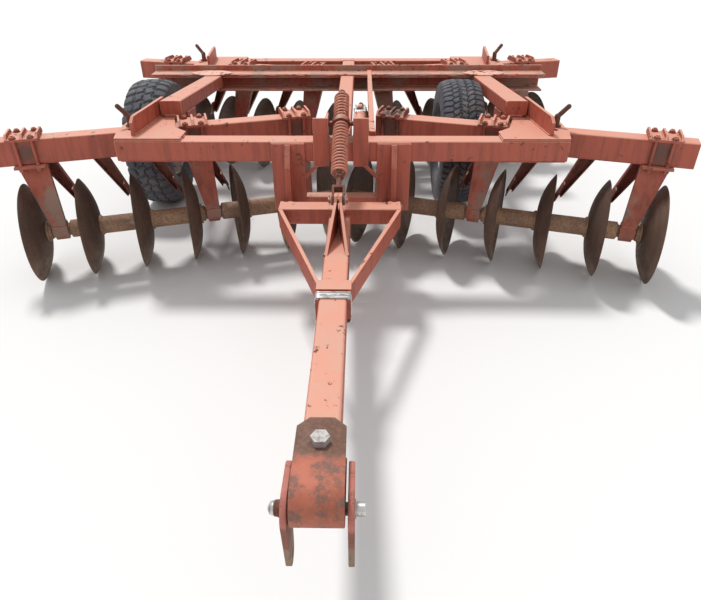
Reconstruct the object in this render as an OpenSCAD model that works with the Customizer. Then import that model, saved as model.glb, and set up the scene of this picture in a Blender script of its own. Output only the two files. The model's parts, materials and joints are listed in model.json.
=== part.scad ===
// Trailed tandem disc harrow, parked on its discs.
// Millimetres, +Z up. The hitch points to -Y. The origin is on the ground under the middle of
// the whole machine. Lengths along Y are measured from the middle of the frame, half way
// between the front tube and the rear tube, and piece() moves that middle to its place.
// Pieces on the left are the mirror images of those on the right, apart from the two wheels.

/* [Frame] */
// Height of the tops of the tubes and gang beams above the ground
frame_top = 722; // [690:1:760]
// Outside size of the square frame tubes
tube = 101.6; // [90:0.1:115]
// Wall of every rectangular tube
tube_wall = 6.4; // [4:0.1:10]
// Outside corner radius of every rectangular tube
tube_round = 10; // [8:1:16]
// Half of the length of the front tube and of the rear tube
tube_half = 1103; // [1060:1:1140]
// Distance from the middle of the frame to the centre line of the front or rear tube
tube_y = 976; // [960:1:1010]
// Width of the centre beam
centre_w = 90; // [80:1:94]
// Left edge of the stay bar beside the lift cylinder
stay_x = 138; // [136:1:160]
// Height of the stay bar
stay_h = 75; // [60:1:80]
// Width of the stay bar
stay_w = 28; // [20:1:36]
// Thickness of the plates welded to the frame
plate = 12; // [8:1:16]

/* [Gangs] */
// Height of a gang beam
beam_h = 127; // [110:1:140]
// Angle of each front gang to the line across the machine
front_angle = 17; // [14:0.5:19]
// Angle of each rear gang to the line across the machine
rear_angle = 13.5; // [11:0.5:15]
// Where the centre lines of the front gang beams would meet, ahead of the middle
front_apex = 484; // [470:1:500]
// Where the centre lines of the rear gang beams would meet, behind the middle
rear_apex = 600; // [590:1:612]
// Distance of the gang axle ahead of its beam
axle_ahead = 100; // [80:1:110]
// Distance between neighbouring front discs along the gang
front_pitch = 262; // [255:1:270]
// Distance between neighbouring rear discs along the gang
rear_pitch = 270; // [262:1:280]
// Diameter of a disc
disc_d = 508; // [480:1:530]
// Depth of a disc's dish
disc_dish = 65; // [50:1:75]
// Thickness of a disc
disc_t = 5; // [4:0.5:7]
// Radius of the flat middle of a disc
disc_flat = 56; // [56:1:66]
// Distance from the apex to the innermost front disc, along the gang
front_first = 72; // [70:1:80]
// Distance from the apex to the innermost rear disc, along the gang
rear_first = 150; // [145:1:160]
// Distance from the apex to the inner end of every gang beam, along the beam
beam_start = 200; // [196:1:215]
// Distance from the outermost front disc to the outer end of its beam
front_beam_end = 156; // [140:1:170]
// Distance from the outermost rear disc to the outer end of its beam
rear_beam_end = 130; // [120:1:150]
// Distance of each front bearing from the middle of its gap, towards the disc outside it
bearing_shift = 59; // [40:1:62]
// Side of the square gang axle
axle_sq = 32; // [28:1:36]
// Diameter of the spools between the discs
spool_d = 92; // [80:1:104]
// Radius of the bearing journal on a spool
journal_r = 32; // [28:0.5:36]
// Radial clearance of every running fit
run_gap = 0.05; // [0.03:0.01:0.1]

/* [Wheels] */
// Outside radius of the tyres
tyre_r = 390; // [380:1:390]
// Width of the tyres
tyre_w = 264; // [240:1:266]
// Distance of the wheel axles behind the middle of the frame
wheel_y = 0; // [-10:1:10]
// Distance of the wheel arms from the centre plane
arm_x = 967; // [960:1:972]
// Distance from each wheel arm to the middle of its wheel, to the left on both sides
wheel_side = 252; // [250:1:260]
// Distance of the rockshaft ahead of the middle of the frame
rock_y = 440; // [436:1:446]
// Height of the rockshaft
rock_z = 530; // [526:1:534]
// Outside radius of the rockshaft
rock_r = 38; // [34:1:38]

/* [Drawbar] */
// Height of the drawbar's hinge axis
hinge_z = 400; // [380:1:410]
// Distance of the drawbar's hinge axis ahead of the front tube's face
hinge_ahead = 44; // [42:1:50]
// Distance of the cross member's front face from the middle of the frame
cross_y = 1300; // [1280:1:1330]
// Half of the length of the drawbar's cross member
cross_half = 285; // [280:1:300]
// Distance of the drawbar tube's front end from the middle of the frame
nose_y = 2800; // [2760:1:2820]
// Slope of the drawbar tube, rising towards the hitch
nose_rise = 1.9; // [0:0.1:3]
// Height of the drawbar's top at the cross member
drawbar_top = 455; // [450:1:462]
// Distance from the middle of the frame to the middle of the strap's round nose
hitch_y = 2905; // [2880:1:2920]
// Thickness of the strap that is folded round the nose of the drawbar
strap_t = 14; // [10:1:16]
// Width of that strap
strap_w = 130; // [110:1:132]
// Radius of the hitch pin
hitch_pin_r = 16; // [12:1:20]
// Height of the bores at the lower ends of the hitch cheeks
eye_z = 250; // [235:1:265]
// Radius of those bores
eye_r = 13; // [10:0.5:16]
// Height of the pin that holds the levelling spring to the mast
mast_pin_z = 600; // [590:1:610]
// Distance of that pin from the middle of the frame
mast_pin_y = 1450; // [1430:1:1470]
// Height of the trunnion between the spring uprights
trunnion_z = 795; // [790:1:800]

/* [Levelling spring] */
// Outside diameter of the levelling spring
spring_d = 76; // [70:1:80]
// Diameter of the spring's wire
spring_wire = 10; // [8:0.5:12]
// Turns of the spring ahead of the trunnion
turns_front = 16; // [10:1:18]
// Turns of the spring behind the trunnion
turns_rear = 9; // [6:1:10]

/* [Hidden] */

$fn = 48;
paint = "#b5563f";
paint_dark = "#8f3f30";
worn_steel = "#8a8580";
rust = "#7a4a35";
disc_steel = "#4f3a2f";
rubber_black = "#2e3033";

beam_w = tube;
beam_bottom = frame_top - beam_h;
tube_bottom = frame_top - tube;
tube_front = tube_y - tube / 2;
axle_z = disc_d / 2;
wheel_z = tyre_r;

// Columns of a gang: first disc, pitch, number of discs, side of the hollows, bearing shift, bearings
FIRST = 0;
PITCH = 1;
COUNT = 2;
CUP = 3;
SHIFT = 4;
BEARINGS = 5;
// Columns of a bearing: gap between discs counted from the inner disc, lean of its hanger
GAP = 0;
LEAN = 1;
front_row = [front_first, front_pitch, 7, 1, bearing_shift, [[0, 20], [2, 40], [5, 70]]];
rear_row = [rear_first, rear_pitch, 6, -1, 0, [[0, 30], [2, 30], [4, 30]]];

function disc_s(g, k) = g[FIRST] + k * g[PITCH];
function last_s(g) = disc_s(g, g[COUNT] - 1);
function bearing_s(g, b) = disc_s(g, b[GAP] + 0.5) + g[CUP] * g[SHIFT];
function clamp_s(g, b) = bearing_s(g, b) + g[CUP] * b[LEAN];

dish_run = disc_d / 2 - disc_flat;
dish_r = (dish_run * dish_run + disc_dish * disc_dish) / (2 * disc_dish);

// Distances of the foremost and the rearmost point from the middle of the frame
strap_r = tube / 2 + strap_t;
strap_y = -cross_y - (hitch_y - cross_y) * cos(nose_rise) - tube / 2 * sin(nose_rise);
strap_z = drawbar_top + (hitch_y - cross_y) * sin(nose_rise) - tube / 2 * cos(nose_rise);
rear_rim_s = last_s(rear_row) - disc_dish + disc_t / 2;
rear_reach = rear_apex + rear_rim_s * sin(rear_angle) + (disc_d / 2 - axle_ahead) * cos(rear_angle);
middle_y = (strap_r - strap_y - rear_reach) / 2;

// Every sub-part: its colour, and the middle of the frame at its place ahead of the origin
module piece(paint_colour) color(paint_colour) translate([0, middle_y, 0]) children();

// Rectangle with true round corners, centred
module section(w, h, r) {
  square([w - 2 * r, h], center = true);
  square([w, h - 2 * r], center = true);
  for (sx = [-1, 1], sy = [-1, 1]) translate([sx * (w / 2 - r), sy * (h / 2 - r)]) circle(r);
}

// Hollow tube of width w and height h along +X, its top at z = 0
module box_tube(length, w, h) {
  translate([0, 0, -h / 2]) rotate([90, 0, 90]) linear_extrude(length) difference() {
    section(w, h, tube_round);
    section(w - 2 * tube_wall, h - 2 * tube_wall, tube_round - tube_wall);
  }
}

// The same on both sides of the centre plane
module both_sides() {
  children();
  mirror([1, 0, 0]) children();
}

// The right front gang's own frame: +X outwards along the beam from the apex, -Y ahead
module front_gang() {
  translate([0, -front_apex, 0]) rotate([0, 0, -front_angle]) children();
}

// The right rear gang's own frame
module rear_gang() {
  translate([0, rear_apex, 0]) rotate([0, 0, rear_angle]) children();
}

// Height of a disc's dish at radius r
function dish(r) = r <= disc_flat ? 0 : dish_r - sqrt(dish_r * dish_r - pow(r - disc_flat, 2));

// One dished disc on the axle line at s; cup = 1 opens outwards, -1 inwards
module disc(s, cup) {
  rim = disc_d / 2;
  steps = 7;
  radii = [for (i = [0:steps]) disc_flat + (rim - disc_flat) * i / steps];
  bevel = 8;
  inner = [for (r = radii) [r, dish(r) - disc_t / 2]];
  outer = [for (i = [steps:-1:0]) [radii[i] - (i == steps ? bevel : 0), dish(radii[i]) + disc_t / 2]];
  translate([s, -axle_ahead, axle_z]) rotate([0, cup * 90, 0]) difference() {
    rotate_extrude($fn = 64) polygon(concat([[0, -disc_t / 2]], inner, outer, [[0, disc_t / 2]]));
    cube([axle_sq + 2, axle_sq + 2, 3 * disc_t], center = true);
  }
}

module disc_set(g) {
  for (k = [0:g[COUNT] - 1]) disc(disc_s(g, k), g[CUP]);
}

journal_half = 42;

// A spool that fills the gap k between discs, with a journal where a bearing runs
module spool(g, k) {
  half = (g[PITCH] - disc_t) / 2;
  flange = 10;
  flange_r = disc_flat - 2;
  r = spool_d / 2;
  has_bearing = len([for (b = g[BEARINGS]) if (b[GAP] == k) b]) > 0;
  from = g[SHIFT] - journal_half;
  to = g[SHIFT] + journal_half;
  shape = has_bearing
    ? [[0, -half], [flange_r, -half], [flange_r, flange - half], [r, flange + 8 - half],
       [r, from - 8], [journal_r, from], [journal_r, to], [r - 4, to + 4], [r - 4, half - flange],
       [flange_r, half - flange], [flange_r, half], [0, half]]
    : [[0, -half], [flange_r, -half], [flange_r, flange - half], [r, flange + 8 - half],
       [r, half - flange - 8], [flange_r, half - flange], [flange_r, half], [0, half]];
  translate([disc_s(g, k + 0.5), -axle_ahead, axle_z]) rotate([0, 90, 0]) rotate_extrude() polygon(shape);
}

// Square axle with its spools, end washers and nuts
module axle_set(g) {
  first = g[FIRST];
  last = last_s(g);
  washer_t = 12;
  nut_t = 24;
  end = disc_t / 2 + washer_t + nut_t + 10;
  inner_end = disc_t / 2 + washer_t + 12;
  translate([first - inner_end, -axle_ahead - axle_sq / 2, axle_z - axle_sq / 2])
    cube([last - first + inner_end + end, axle_sq, axle_sq]);
  for (k = [0:g[COUNT] - 2]) spool(g, k);
  translate([first - disc_t / 2 - washer_t, -axle_ahead, axle_z]) rotate([0, 90, 0])
    cylinder(r = disc_flat - 4, h = washer_t);
  translate([last + disc_t / 2, -axle_ahead, axle_z]) rotate([0, 90, 0]) {
    cylinder(r = disc_flat - 4, h = washer_t);
    cylinder(r = 30, h = washer_t + nut_t, $fn = 6);
  }
}

// Gap between pieces that lie on one another
seat_gap = 0.3;
bolt_r = 8;
bolt_gap = 0.5;
bolt_nut_t = 13;
clamp_bolt_y = beam_w / 2 + 3 + bolt_r;
clamp_bolt_s = 40;
clamp_half = 75;
hanger_top = beam_bottom - plate;
hanger_back = 100;
housing_r = 50;

// The four bolts of the clamp centred at s
module bolt_places(s) {
  for (x = [-1, 1], y = [-1, 1]) translate([s + x * clamp_bolt_s, y * clamp_bolt_y, 0]) children();
}

// Bearing hanger at s under the beam: a channel closed at the front, leaning to the side of cup
module hanger(s, cup, lean) {
  near = lean - 72;
  far = lean + 72;
  low = 36;
  front = 75;
  head_y = -30;
  foot_y = 8 - housing_r - axle_ahead;
  foot_z = axle_z + 34;
  slope = atan((head_y - foot_y) / (hanger_top - foot_z));
  length = (hanger_top - foot_z) / cos(slope) + 30;
  face_t = 8;
  side_d = 30;
  toe = 18;
  translate([s, 0, 0]) scale([cup, 1, 1]) {
    translate([near, -front, hanger_top]) cube([far - near, front + hanger_back, plate]);
    // Sloping face with a flange along each edge
    intersection() {
      translate([0, foot_y, foot_z]) rotate([90 - slope, 0, 0]) {
        translate([0, 0, -face_t]) linear_extrude(face_t)
          polygon([[-low, 0], [low, 0], [far, length], [near, length]]);
        translate([0, 0, -side_d]) linear_extrude(side_d) {
          polygon([[-low, 0], [face_t - low, 0], [face_t + near, length], [near, length]]);
          polygon([[low - face_t, 0], [low, 0], [far, length], [far - face_t, length]]);
        }
      }
      translate([near - 100, -500, 0]) cube([far - near + 200, 1000, hanger_top]);
    }
    // Upright toe in front of the bearing housing
    translate([-low - 1, foot_y - 9, axle_z - toe]) cube([2 * low + 2, 12, foot_z - axle_z + toe + 5]);
  }
  translate([s, -axle_ahead, axle_z]) rotate([0, 90, 0]) cylinder(r = housing_r, h = 60, center = true);
}

module hanger_set(g) {
  difference() {
    for (b = g[BEARINGS]) hanger(bearing_s(g, b), g[CUP], b[LEAN]);
    for (b = g[BEARINGS]) {
      translate([bearing_s(g, b), -axle_ahead, axle_z]) rotate([0, 90, 0])
        cylinder(r = journal_r + run_gap, h = 80, center = true);
      bolt_places(clamp_s(g, b)) translate([0, 0, hanger_top - 1]) cylinder(r = bolt_r + bolt_gap, h = plate + 2);
    }
  }
}

// Saddle, ribs and four bolts that clamp a hanger to its beam at s; tie is what lies under the rear nuts
module clamp(s, tie) {
  depth = 2 * clamp_bolt_y + 32;
  rib = 10;
  translate([s, 0, 0]) {
    translate([-clamp_half, -depth / 2, frame_top]) cube([2 * clamp_half, depth, plate]);
    for (x = [-clamp_half, -rib / 2, clamp_half - rib])
      translate([x, -depth / 2, frame_top + plate]) rotate([90, 0, 90]) linear_extrude(rib)
        polygon([[0, 0], [depth, 0], [depth - 24, 22], [24, 22]]);
    for (x = [-clamp_bolt_s, clamp_bolt_s], y = [-1, 1]) translate([x, y * clamp_bolt_y, 0]) {
      low = hanger_top - (y > 0 ? tie : 0) - bolt_nut_t - 5;
      translate([0, 0, low]) cylinder(r = bolt_r, h = frame_top + plate + bolt_nut_t + 5 - low, $fn = 24);
      translate([0, 0, low + 5]) cylinder(r = 14, h = bolt_nut_t, $fn = 6);
      translate([0, 0, frame_top + plate]) cylinder(r = 14, h = bolt_nut_t, $fn = 6);
    }
  }
}

module clamp_set(g) {
  for (b = g[BEARINGS]) clamp(clamp_s(g, b), b[GAP] == 0 ? plate : 0);
}

// Scraper bar under the hangers' plates, with an arm and a blade for each disc from low to high
module scraper_set(g, low, high) {
  bar_t = 10;
  bar_w = 40;
  bar_y = hanger_back - bar_w / 2;
  top = hanger_top - bar_t;
  foot = disc_dish + disc_t / 2 + 8;
  foot_w = 38;
  foot_z = axle_z + 74;
  head_w = 84;
  lean = 96;
  web_t = 6;
  side_t = 8;
  side_d = 34;
  blade_h = 90;
  blade_d = 50;
  shear = lean / (top - foot_z);
  ends = [disc_s(g, low) + g[CUP] * foot, disc_s(g, high) + g[CUP] * foot];
  inner = ends[0] - (g[CUP] > 0 ? 30 : lean + head_w + 10);
  outer = ends[1] + (g[CUP] > 0 ? lean + head_w + 10 : 30);
  translate([inner, bar_y, top]) cube([outer - inner, bar_w, bar_t]);
  for (k = [low:high]) translate([disc_s(g, k), bar_y + bar_w, 0]) scale([g[CUP], 1, 1]) rotate([90, 0, 0]) {
    // Channel that opens to the front
    linear_extrude(web_t)
      polygon([[foot, foot_z], [foot + foot_w, foot_z], [foot + lean + head_w, top], [foot + lean, top]]);
    linear_extrude(side_d) {
      polygon([[foot, foot_z], [foot + side_t, foot_z], [foot + lean + side_t, top], [foot + lean, top]]);
      polygon([[foot + foot_w - side_t, foot_z], [foot + foot_w, foot_z],
        [foot + lean + head_w, top], [foot + lean + head_w - side_t, top]]);
    }
    // Blade behind the hollow side of the disc
    linear_extrude(side_d + blade_d)
      polygon([[foot + 1, foot_z - 10], [foot + side_t - 1, foot_z - 10],
        [foot + side_t - 1 + shear * blade_h, foot_z + blade_h], [foot + 1 + shear * blade_h, foot_z + blade_h]]);
  }
}

module front_tube() piece(paint) translate([-tube_half, -tube_y, frame_top])
  box_tube(2 * tube_half, tube, tube);

module rear_tube() piece(paint) translate([-tube_half, tube_y, frame_top])
  box_tube(2 * tube_half, tube, tube);

module centre_beam() piece(paint) translate([0, -tube_front, frame_top]) rotate([0, 0, 90])
  box_tube(2 * tube_front, centre_w, centre_w);

cross_front = 405;
cross_depth = 122;
cross_back = cross_front + cross_depth;
cross_half_length = 1350;
angle_t = 10;
upstand = 48;

// Channel that opens to the front, with an angle lying on it
module rear_cross() piece(paint) difference() {
  union() {
    for (z = [tube_bottom, frame_top - plate])
      translate([-cross_half_length + 10, cross_front, z]) cube([2 * cross_half_length - 20, cross_depth, plate]);
    translate([-cross_half_length + 10, cross_back - plate, tube_bottom])
      cube([2 * cross_half_length - 20, plate, tube]);
    translate([-cross_half_length, cross_front, frame_top]) cube([2 * cross_half_length, cross_depth, angle_t]);
    translate([-cross_half_length, cross_back - angle_t, frame_top])
      cube([2 * cross_half_length, angle_t, upstand]);
  }
  // The centre beam passes through
  translate([-centre_w / 2, cross_front - 1, tube_bottom - 1]) cube([centre_w, cross_depth + 2, tube + 1]);
}

// Flat bar on edge beside the lift cylinder, with a thin tail that lies on the angle
module stay_bar() piece(paint) {
  top = frame_top + angle_t + 8;
  translate([stay_x, -tube_front, top - stay_h]) cube([stay_w, tube_front + cross_front, stay_h]);
  translate([stay_x, cross_front, frame_top + angle_t]) cube([stay_w, cross_depth - angle_t, 8]);
}

rail_w = 114;
rail_h = 76;
rail_x = 915;
rail_front = -655;
rail_seat = -560;
rail_top_front = frame_top + plate + rail_h + 11;
rail_top_rear = frame_top + 5;
rail_slope = atan((rail_top_front - rail_top_rear) / (cross_front - rail_front));

// Height of the rails' underside at y
function rail_under(y) = rail_top_front - (y - rail_front) * tan(rail_slope) - rail_h / cos(rail_slope);

// Sloping side rails, from the front corner plates to the rear cross section
module side_rails() piece(paint) both_sides() difference() {
  spare = 40;
  cut_h = 2 * frame_top;
  translate([rail_x, rail_front, rail_top_front]) rotate([-rail_slope, 0, 0])
    translate([0, -spare, 0]) {
      rotate([0, 0, 90]) box_tube((cross_front - rail_front) / cos(rail_slope) + 2 * spare, rail_w, rail_h);
      // Closed front end
      translate([0, 0, -rail_h / 2]) rotate([-90, 0, 0]) linear_extrude(spare + plate)
        section(rail_w - tube_wall, rail_h - tube_wall, tube_round - tube_wall / 2);
    }
  // Cut upright at both ends
  translate([rail_x - rail_w, rail_front - 5 * spare, 0]) cube([2 * rail_w, 5 * spare, cut_h]);
  translate([rail_x - rail_w, cross_front, 0]) cube([2 * rail_w, 5 * spare, cut_h]);
}

gusset_h = 87;
gusset_t = 16;
gusset_l = 412;
pin_r = 15;
pin_gap = 0.5;
front_pin_s = tube_half + 32;
rear_pin_s = tube_half + 13;
// Gang angles, beside the one in use, for which the corner plates are drilled
angle_holes = [-3, 3];
corner_in = rail_x - 135;
corner_out = tube_half + 27;
corner_bend = 70;

// A point in the right front gang's frame, seen from the middle of the frame
function from_gang(apex, angle, s, y) =
  [s * cos(angle) + y * sin(angle), -apex - s * sin(angle) + y * cos(angle)];

// Bracket at one end of the front tube: plates over and under the gang beam, a web, an upstand
module corner(apex, angle, pin_s, clamp_end, reach) {
  clear = clamp_end + 13;
  difference() {
    union() {
      translate([0, 0, frame_top]) linear_extrude(plate) polygon([[corner_in, -tube_y - 44],
        [tube_half, -tube_y - 44], [corner_out, -900], [corner_out, -690], [corner_out - corner_bend, -reach],
        [rail_x - 47, -reach], [rail_x - 47, from_gang(apex, angle, clear, 95)[1] + 12],
        from_gang(apex, angle, clear, 90),
        from_gang(apex, angle, clear, -90), [corner_in, -900]]);
      translate([0, 0, hanger_top]) linear_extrude(plate) polygon([[corner_in + 130, -tube_front],
        [corner_out, -tube_front], [corner_out, -700], [corner_out - corner_bend, -620], [corner_in + 160, -620]]);
      translate([corner_in, -tube_front, hanger_top]) cube([260, plate, beam_h + plate]);
    }
    for (a = concat(angle_holes, [0])) translate([0, -apex, 0]) rotate([0, 0, -angle - a])
      translate([pin_s, 0, hanger_top - 1]) cylinder(r = pin_r + pin_gap, h = beam_h + 2 * plate + 2);
  }
  // Upstand for the side rail to lie beside
  translate([rail_x + 107, -tube_y, frame_top + plate]) rotate([0, 0, 5.8]) translate([-gusset_t / 2, 0, 0])
    rotate([90, 0, 90]) linear_extrude(gusset_t)
      polygon([[0, 0], [gusset_l - 12, 0], [gusset_l, 12], [gusset_l, gusset_h], [30, gusset_h], [0, gusset_h - 25]]);
}

module corner_brackets() piece(paint) both_sides() {
  // Wedge on the front plate that the rail rests on
  translate([rail_x - 40, 0, 0]) rotate([90, 0, 90]) linear_extrude(80)
    polygon([[rail_front, frame_top + plate], [rail_front, rail_under(rail_front) - seat_gap],
      [rail_seat, rail_under(rail_seat) - seat_gap], [rail_seat, frame_top + plate]]);
  corner(front_apex, front_angle, front_pin_s, clamp_s(front_row, front_row[BEARINGS][1]) + clamp_half, -rail_seat);
  mirror([0, 1, 0])
    corner(rear_apex, rear_angle, rear_pin_s, clamp_s(rear_row, rear_row[BEARINGS][1]) + clamp_half, cross_back);
}

module gang_beam(out, pin_s) difference() {
  translate([beam_start, 0, frame_top]) box_tube(out - beam_start, beam_w, beam_h);
  translate([pin_s, 0, beam_bottom - 5]) cylinder(r = pin_r + pin_gap, h = beam_h + 10);
}

module front_gang_beams() piece(paint) both_sides() front_gang()
  gang_beam(last_s(front_row) + front_beam_end, front_pin_s);

module rear_gang_beams() piece(paint) both_sides() rear_gang()
  gang_beam(last_s(rear_row) + rear_beam_end, rear_pin_s);

tie_w = 54;
front_tie = [352, -front_apex - tie_w + 2];
rear_tie = [310, rear_apex + 88];

// Flat bars bolted under the inner hangers, with the blocks that hang them from the centre beam
module centre_ties() piece(paint_dark) difference() {
  for (t = [front_tie, rear_tie]) {
    translate([-t[0], t[1], hanger_top - plate]) cube([2 * t[0], tie_w, plate]);
    translate([-centre_w / 2, t[1], hanger_top]) cube([centre_w, tie_w, frame_top - centre_w - hanger_top]);
  }
  both_sides() {
    front_gang() bolt_places(clamp_s(front_row, front_row[BEARINGS][0])) translate([0, 0, hanger_top - 2 * plate])
      cylinder(r = bolt_r + bolt_gap, h = 3 * plate);
    rear_gang() bolt_places(clamp_s(rear_row, rear_row[BEARINGS][0])) translate([0, 0, hanger_top - 2 * plate])
      cylinder(r = bolt_r + bolt_gap, h = 3 * plate);
  }
}

// Drop pin with a bent handle
module drop_pin() {
  low = hanger_top - 25;
  collar = 8;
  bend = frame_top + plate + 50;
  handle = 70;
  translate([0, 0, low]) cylinder(r = pin_r, h = bend - low);
  translate([0, 0, frame_top + plate]) cylinder(r = pin_r + 9, h = collar);
  translate([0, 0, bend]) sphere(pin_r);
  translate([0, 0, bend]) rotate([0, 40, 0]) {
    cylinder(r = pin_r - 3, h = handle);
    translate([0, 0, handle]) sphere(pin_r - 3);
  }
}

module gang_pins() piece(rust) both_sides() {
  front_gang() translate([front_pin_s, 0, 0]) drop_pin();
  rear_gang() translate([rear_pin_s, 0, 0]) drop_pin();
}

module front_hangers() piece(paint) both_sides() front_gang() hanger_set(front_row);
module rear_hangers() piece(paint) both_sides() rear_gang() hanger_set(rear_row);
module front_clamps() piece(paint) both_sides() front_gang() clamp_set(front_row);
module rear_clamps() piece(paint) both_sides() rear_gang() clamp_set(rear_row);

// The inner discs have no scraper beside the rockshaft and the ties, nor has the outermost front disc
module front_scrapers() piece(paint_dark) both_sides() front_gang() scraper_set(front_row, 2, 5);
module rear_scrapers() piece(paint_dark) both_sides() rear_gang() scraper_set(rear_row, 2, 5);

module front_discs() front_gang() disc_set(front_row);
module rear_discs() rear_gang() disc_set(rear_row);
module front_axle() front_gang() axle_set(front_row);
module rear_axle() rear_gang() axle_set(rear_row);
module discs_front_right() piece(disc_steel) front_discs();
module discs_front_left() piece(disc_steel) mirror([1, 0, 0]) front_discs();
module discs_rear_right() piece(disc_steel) rear_discs();
module discs_rear_left() piece(disc_steel) mirror([1, 0, 0]) rear_discs();
module axle_front_right() piece(rust) front_axle();
module axle_front_left() piece(rust) mirror([1, 0, 0]) front_axle();
module axle_rear_right() piece(rust) rear_axle();
module axle_rear_left() piece(rust) mirror([1, 0, 0]) rear_axle();

face_y = -tube_y - tube / 2;
hinge_y = face_y - hinge_ahead;
leg_x = 258;
leg_w = 162;
fin_t = 25;
hinge_pin_r = 15;

upright_in = 60;
upright_w = 73;
upright_top = 836;
upright_low = tube_bottom - 20;

// Legs that hang from the front tube and carry the drawbar's hinge, with the tie between them
module hinge_legs() piece(paint) {
  low = hinge_z - 30;
  leg_in = leg_x - leg_w / 2;
  brace_z = 530;
  brace_t = 20;
  brace_y = 24;
  brace_top = upright_low - seat_gap;
  brace_in = leg_in + 4;
  tie_z = hinge_z + 40;
  tie_d = 64;
  tie_h = 32;
  tie_t = 8;
  fin_reach = hinge_ahead - plate + hinge_pin_r + 12;
  both_sides() {
    translate([leg_x - leg_w / 2, face_y - plate, low]) cube([leg_w, plate, frame_top - 8 - low]);
    difference() {
      translate([leg_x - fin_t / 2, face_y - plate, 0]) rotate([90, 0, -90]) translate([0, 0, -fin_t])
        linear_extrude(fin_t) polygon([[0, low], [fin_reach, low],
          [fin_reach, frame_top - 110], [6, frame_top - 12], [0, frame_top - 12]]);
      translate([leg_x - 50, hinge_y, hinge_z]) rotate([0, 90, 0]) cylinder(r = hinge_pin_r + run_gap, h = 100);
    }
    // Brace from the leg up to the upright's foot
    translate([0, face_y - 10 + brace_y, 0]) rotate([90, 0, 0]) linear_extrude(brace_y)
      polygon([[brace_in, brace_z], [brace_in, brace_z + brace_t],
        [brace_in - (brace_top - brace_z - brace_t), brace_top], [brace_in - (brace_top - brace_z), brace_top]]);
  }
  translate([-leg_in - 1, face_y - plate + 2, tie_z - tie_t]) cube([2 * leg_in + 2, tie_d, tie_t]);
  translate([-leg_in - 1, face_y - plate + 2, tie_z - tie_h]) cube([2 * leg_in + 2, tie_t, tie_h]);
}

trunnion_r = 12;

// Uprights on both sides of the spring, with the trunnion bores
module spring_uprights() piece(paint) both_sides() difference() {
  union() {
    translate([upright_in, face_y - 10, upright_low]) cube([upright_w, 10, upright_top - upright_low]);
    translate([upright_in, face_y, frame_top]) cube([12, 90, upright_top - frame_top]);
  }
  translate([upright_in - 1, -tube_y, trunnion_z]) rotate([0, 90, 0]) cylinder(r = trunnion_r + run_gap, h = 30);
}

arm_t = 40;
hanger_t = 16;

// Plates that hang from the side rails and carry the rockshaft
module rockshaft_hangers() piece(paint) both_sides() difference() {
  side = rail_x - rail_w / 2;
  union() {
    translate([side, -rock_y, 0]) rotate([90, 0, 90]) linear_extrude(hanger_t)
      polygon([[-110, rail_under(-rock_y) + 20], [60, rail_under(-rock_y) + 20], [60, rock_z - 10],
        [30, rock_z - 60], [-30, rock_z - 60], [-60, rock_z - 10]]);
    translate([side, -rock_y, rock_z]) rotate([0, 90, 0]) cylinder(r = rock_r + 14, h = 50);
  }
  translate([side - 1, -rock_y, rock_z]) rotate([0, 90, 0]) cylinder(r = rock_r + run_gap, h = 100);
  // Flush with the underside of the rail
  translate([side - 1, rail_front, rail_top_front]) rotate([-rail_slope, 0, 0]) translate([0, 0, -rail_h])
    cube([rail_w, 900, 200]);
}

slot_x = (centre_w / 2 + stay_x) / 2;
anchor_y = -885;
anchor_z = 680;
lever_pin = [80, 170];
cyl_r = 36;
cyl_pin_r = 12.5;
// The lever's bore is wider than its pin, so that the linkage can be opened here
lever_slack = 5.2;
eye_plate_t = 12;
eye_clear = 7;
lever_t = 24;
fork_in = lever_t / 2 + eye_clear;

// Ears behind the front tube that hold the lift cylinder, with their pin
module cylinder_anchor() piece(paint) {
  ear_r = 28;
  ear_in = 22;
  for (x = [-ear_in - eye_plate_t, ear_in]) translate([slot_x + x, 0, 0]) rotate([90, 0, 90])
    linear_extrude(eye_plate_t) {
      translate([-tube_front, anchor_z - ear_r]) square([anchor_y + tube_front, 2 * ear_r]);
      translate([anchor_y, anchor_z]) circle(ear_r);
    }
  translate([slot_x, anchor_y, anchor_z]) rotate([0, 90, 0])
    cylinder(r = cyl_pin_r, h = 2 * (ear_in + eye_plate_t + 6), center = true);
}

lever_y = -rock_y + lever_pin[0];
lever_z = rock_z + lever_pin[1];
cyl_length = sqrt(pow(lever_y - anchor_y, 2) + pow(lever_z - anchor_z, 2));
cyl_tilt = atan2(lever_z - anchor_z, lever_y - anchor_y);
barrel_length = 360;
barrel_start = 36;
piston_rod_r = 18;

// The cylinder's own frame: +Y along its axis from the anchor pin
module cylinder_frame() translate([slot_x, anchor_y, anchor_z]) rotate([cyl_tilt, 0, 0]) children();

// A rod along the cylinder's axis
module along(r, from, to) translate([0, from, 0]) rotate([-90, 0, 0]) cylinder(r = r, h = to - from);

module lift_cylinder() piece(paint) cylinder_frame() difference() {
  union() {
    rotate([0, 90, 0]) cylinder(r = 24, h = 40, center = true);
    translate([-20, 0, -24]) cube([40, barrel_start + 5, 48]);
    along(cyl_r, barrel_start, barrel_length);
    along(cyl_r + 3, barrel_start, barrel_start + 14);
    along(cyl_r + 3, barrel_length - 22, barrel_length);
  }
  rotate([0, 90, 0]) cylinder(r = cyl_pin_r + run_gap, h = 60, center = true);
  along(piston_rod_r + run_gap, 60, barrel_length + 10);
}

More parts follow.
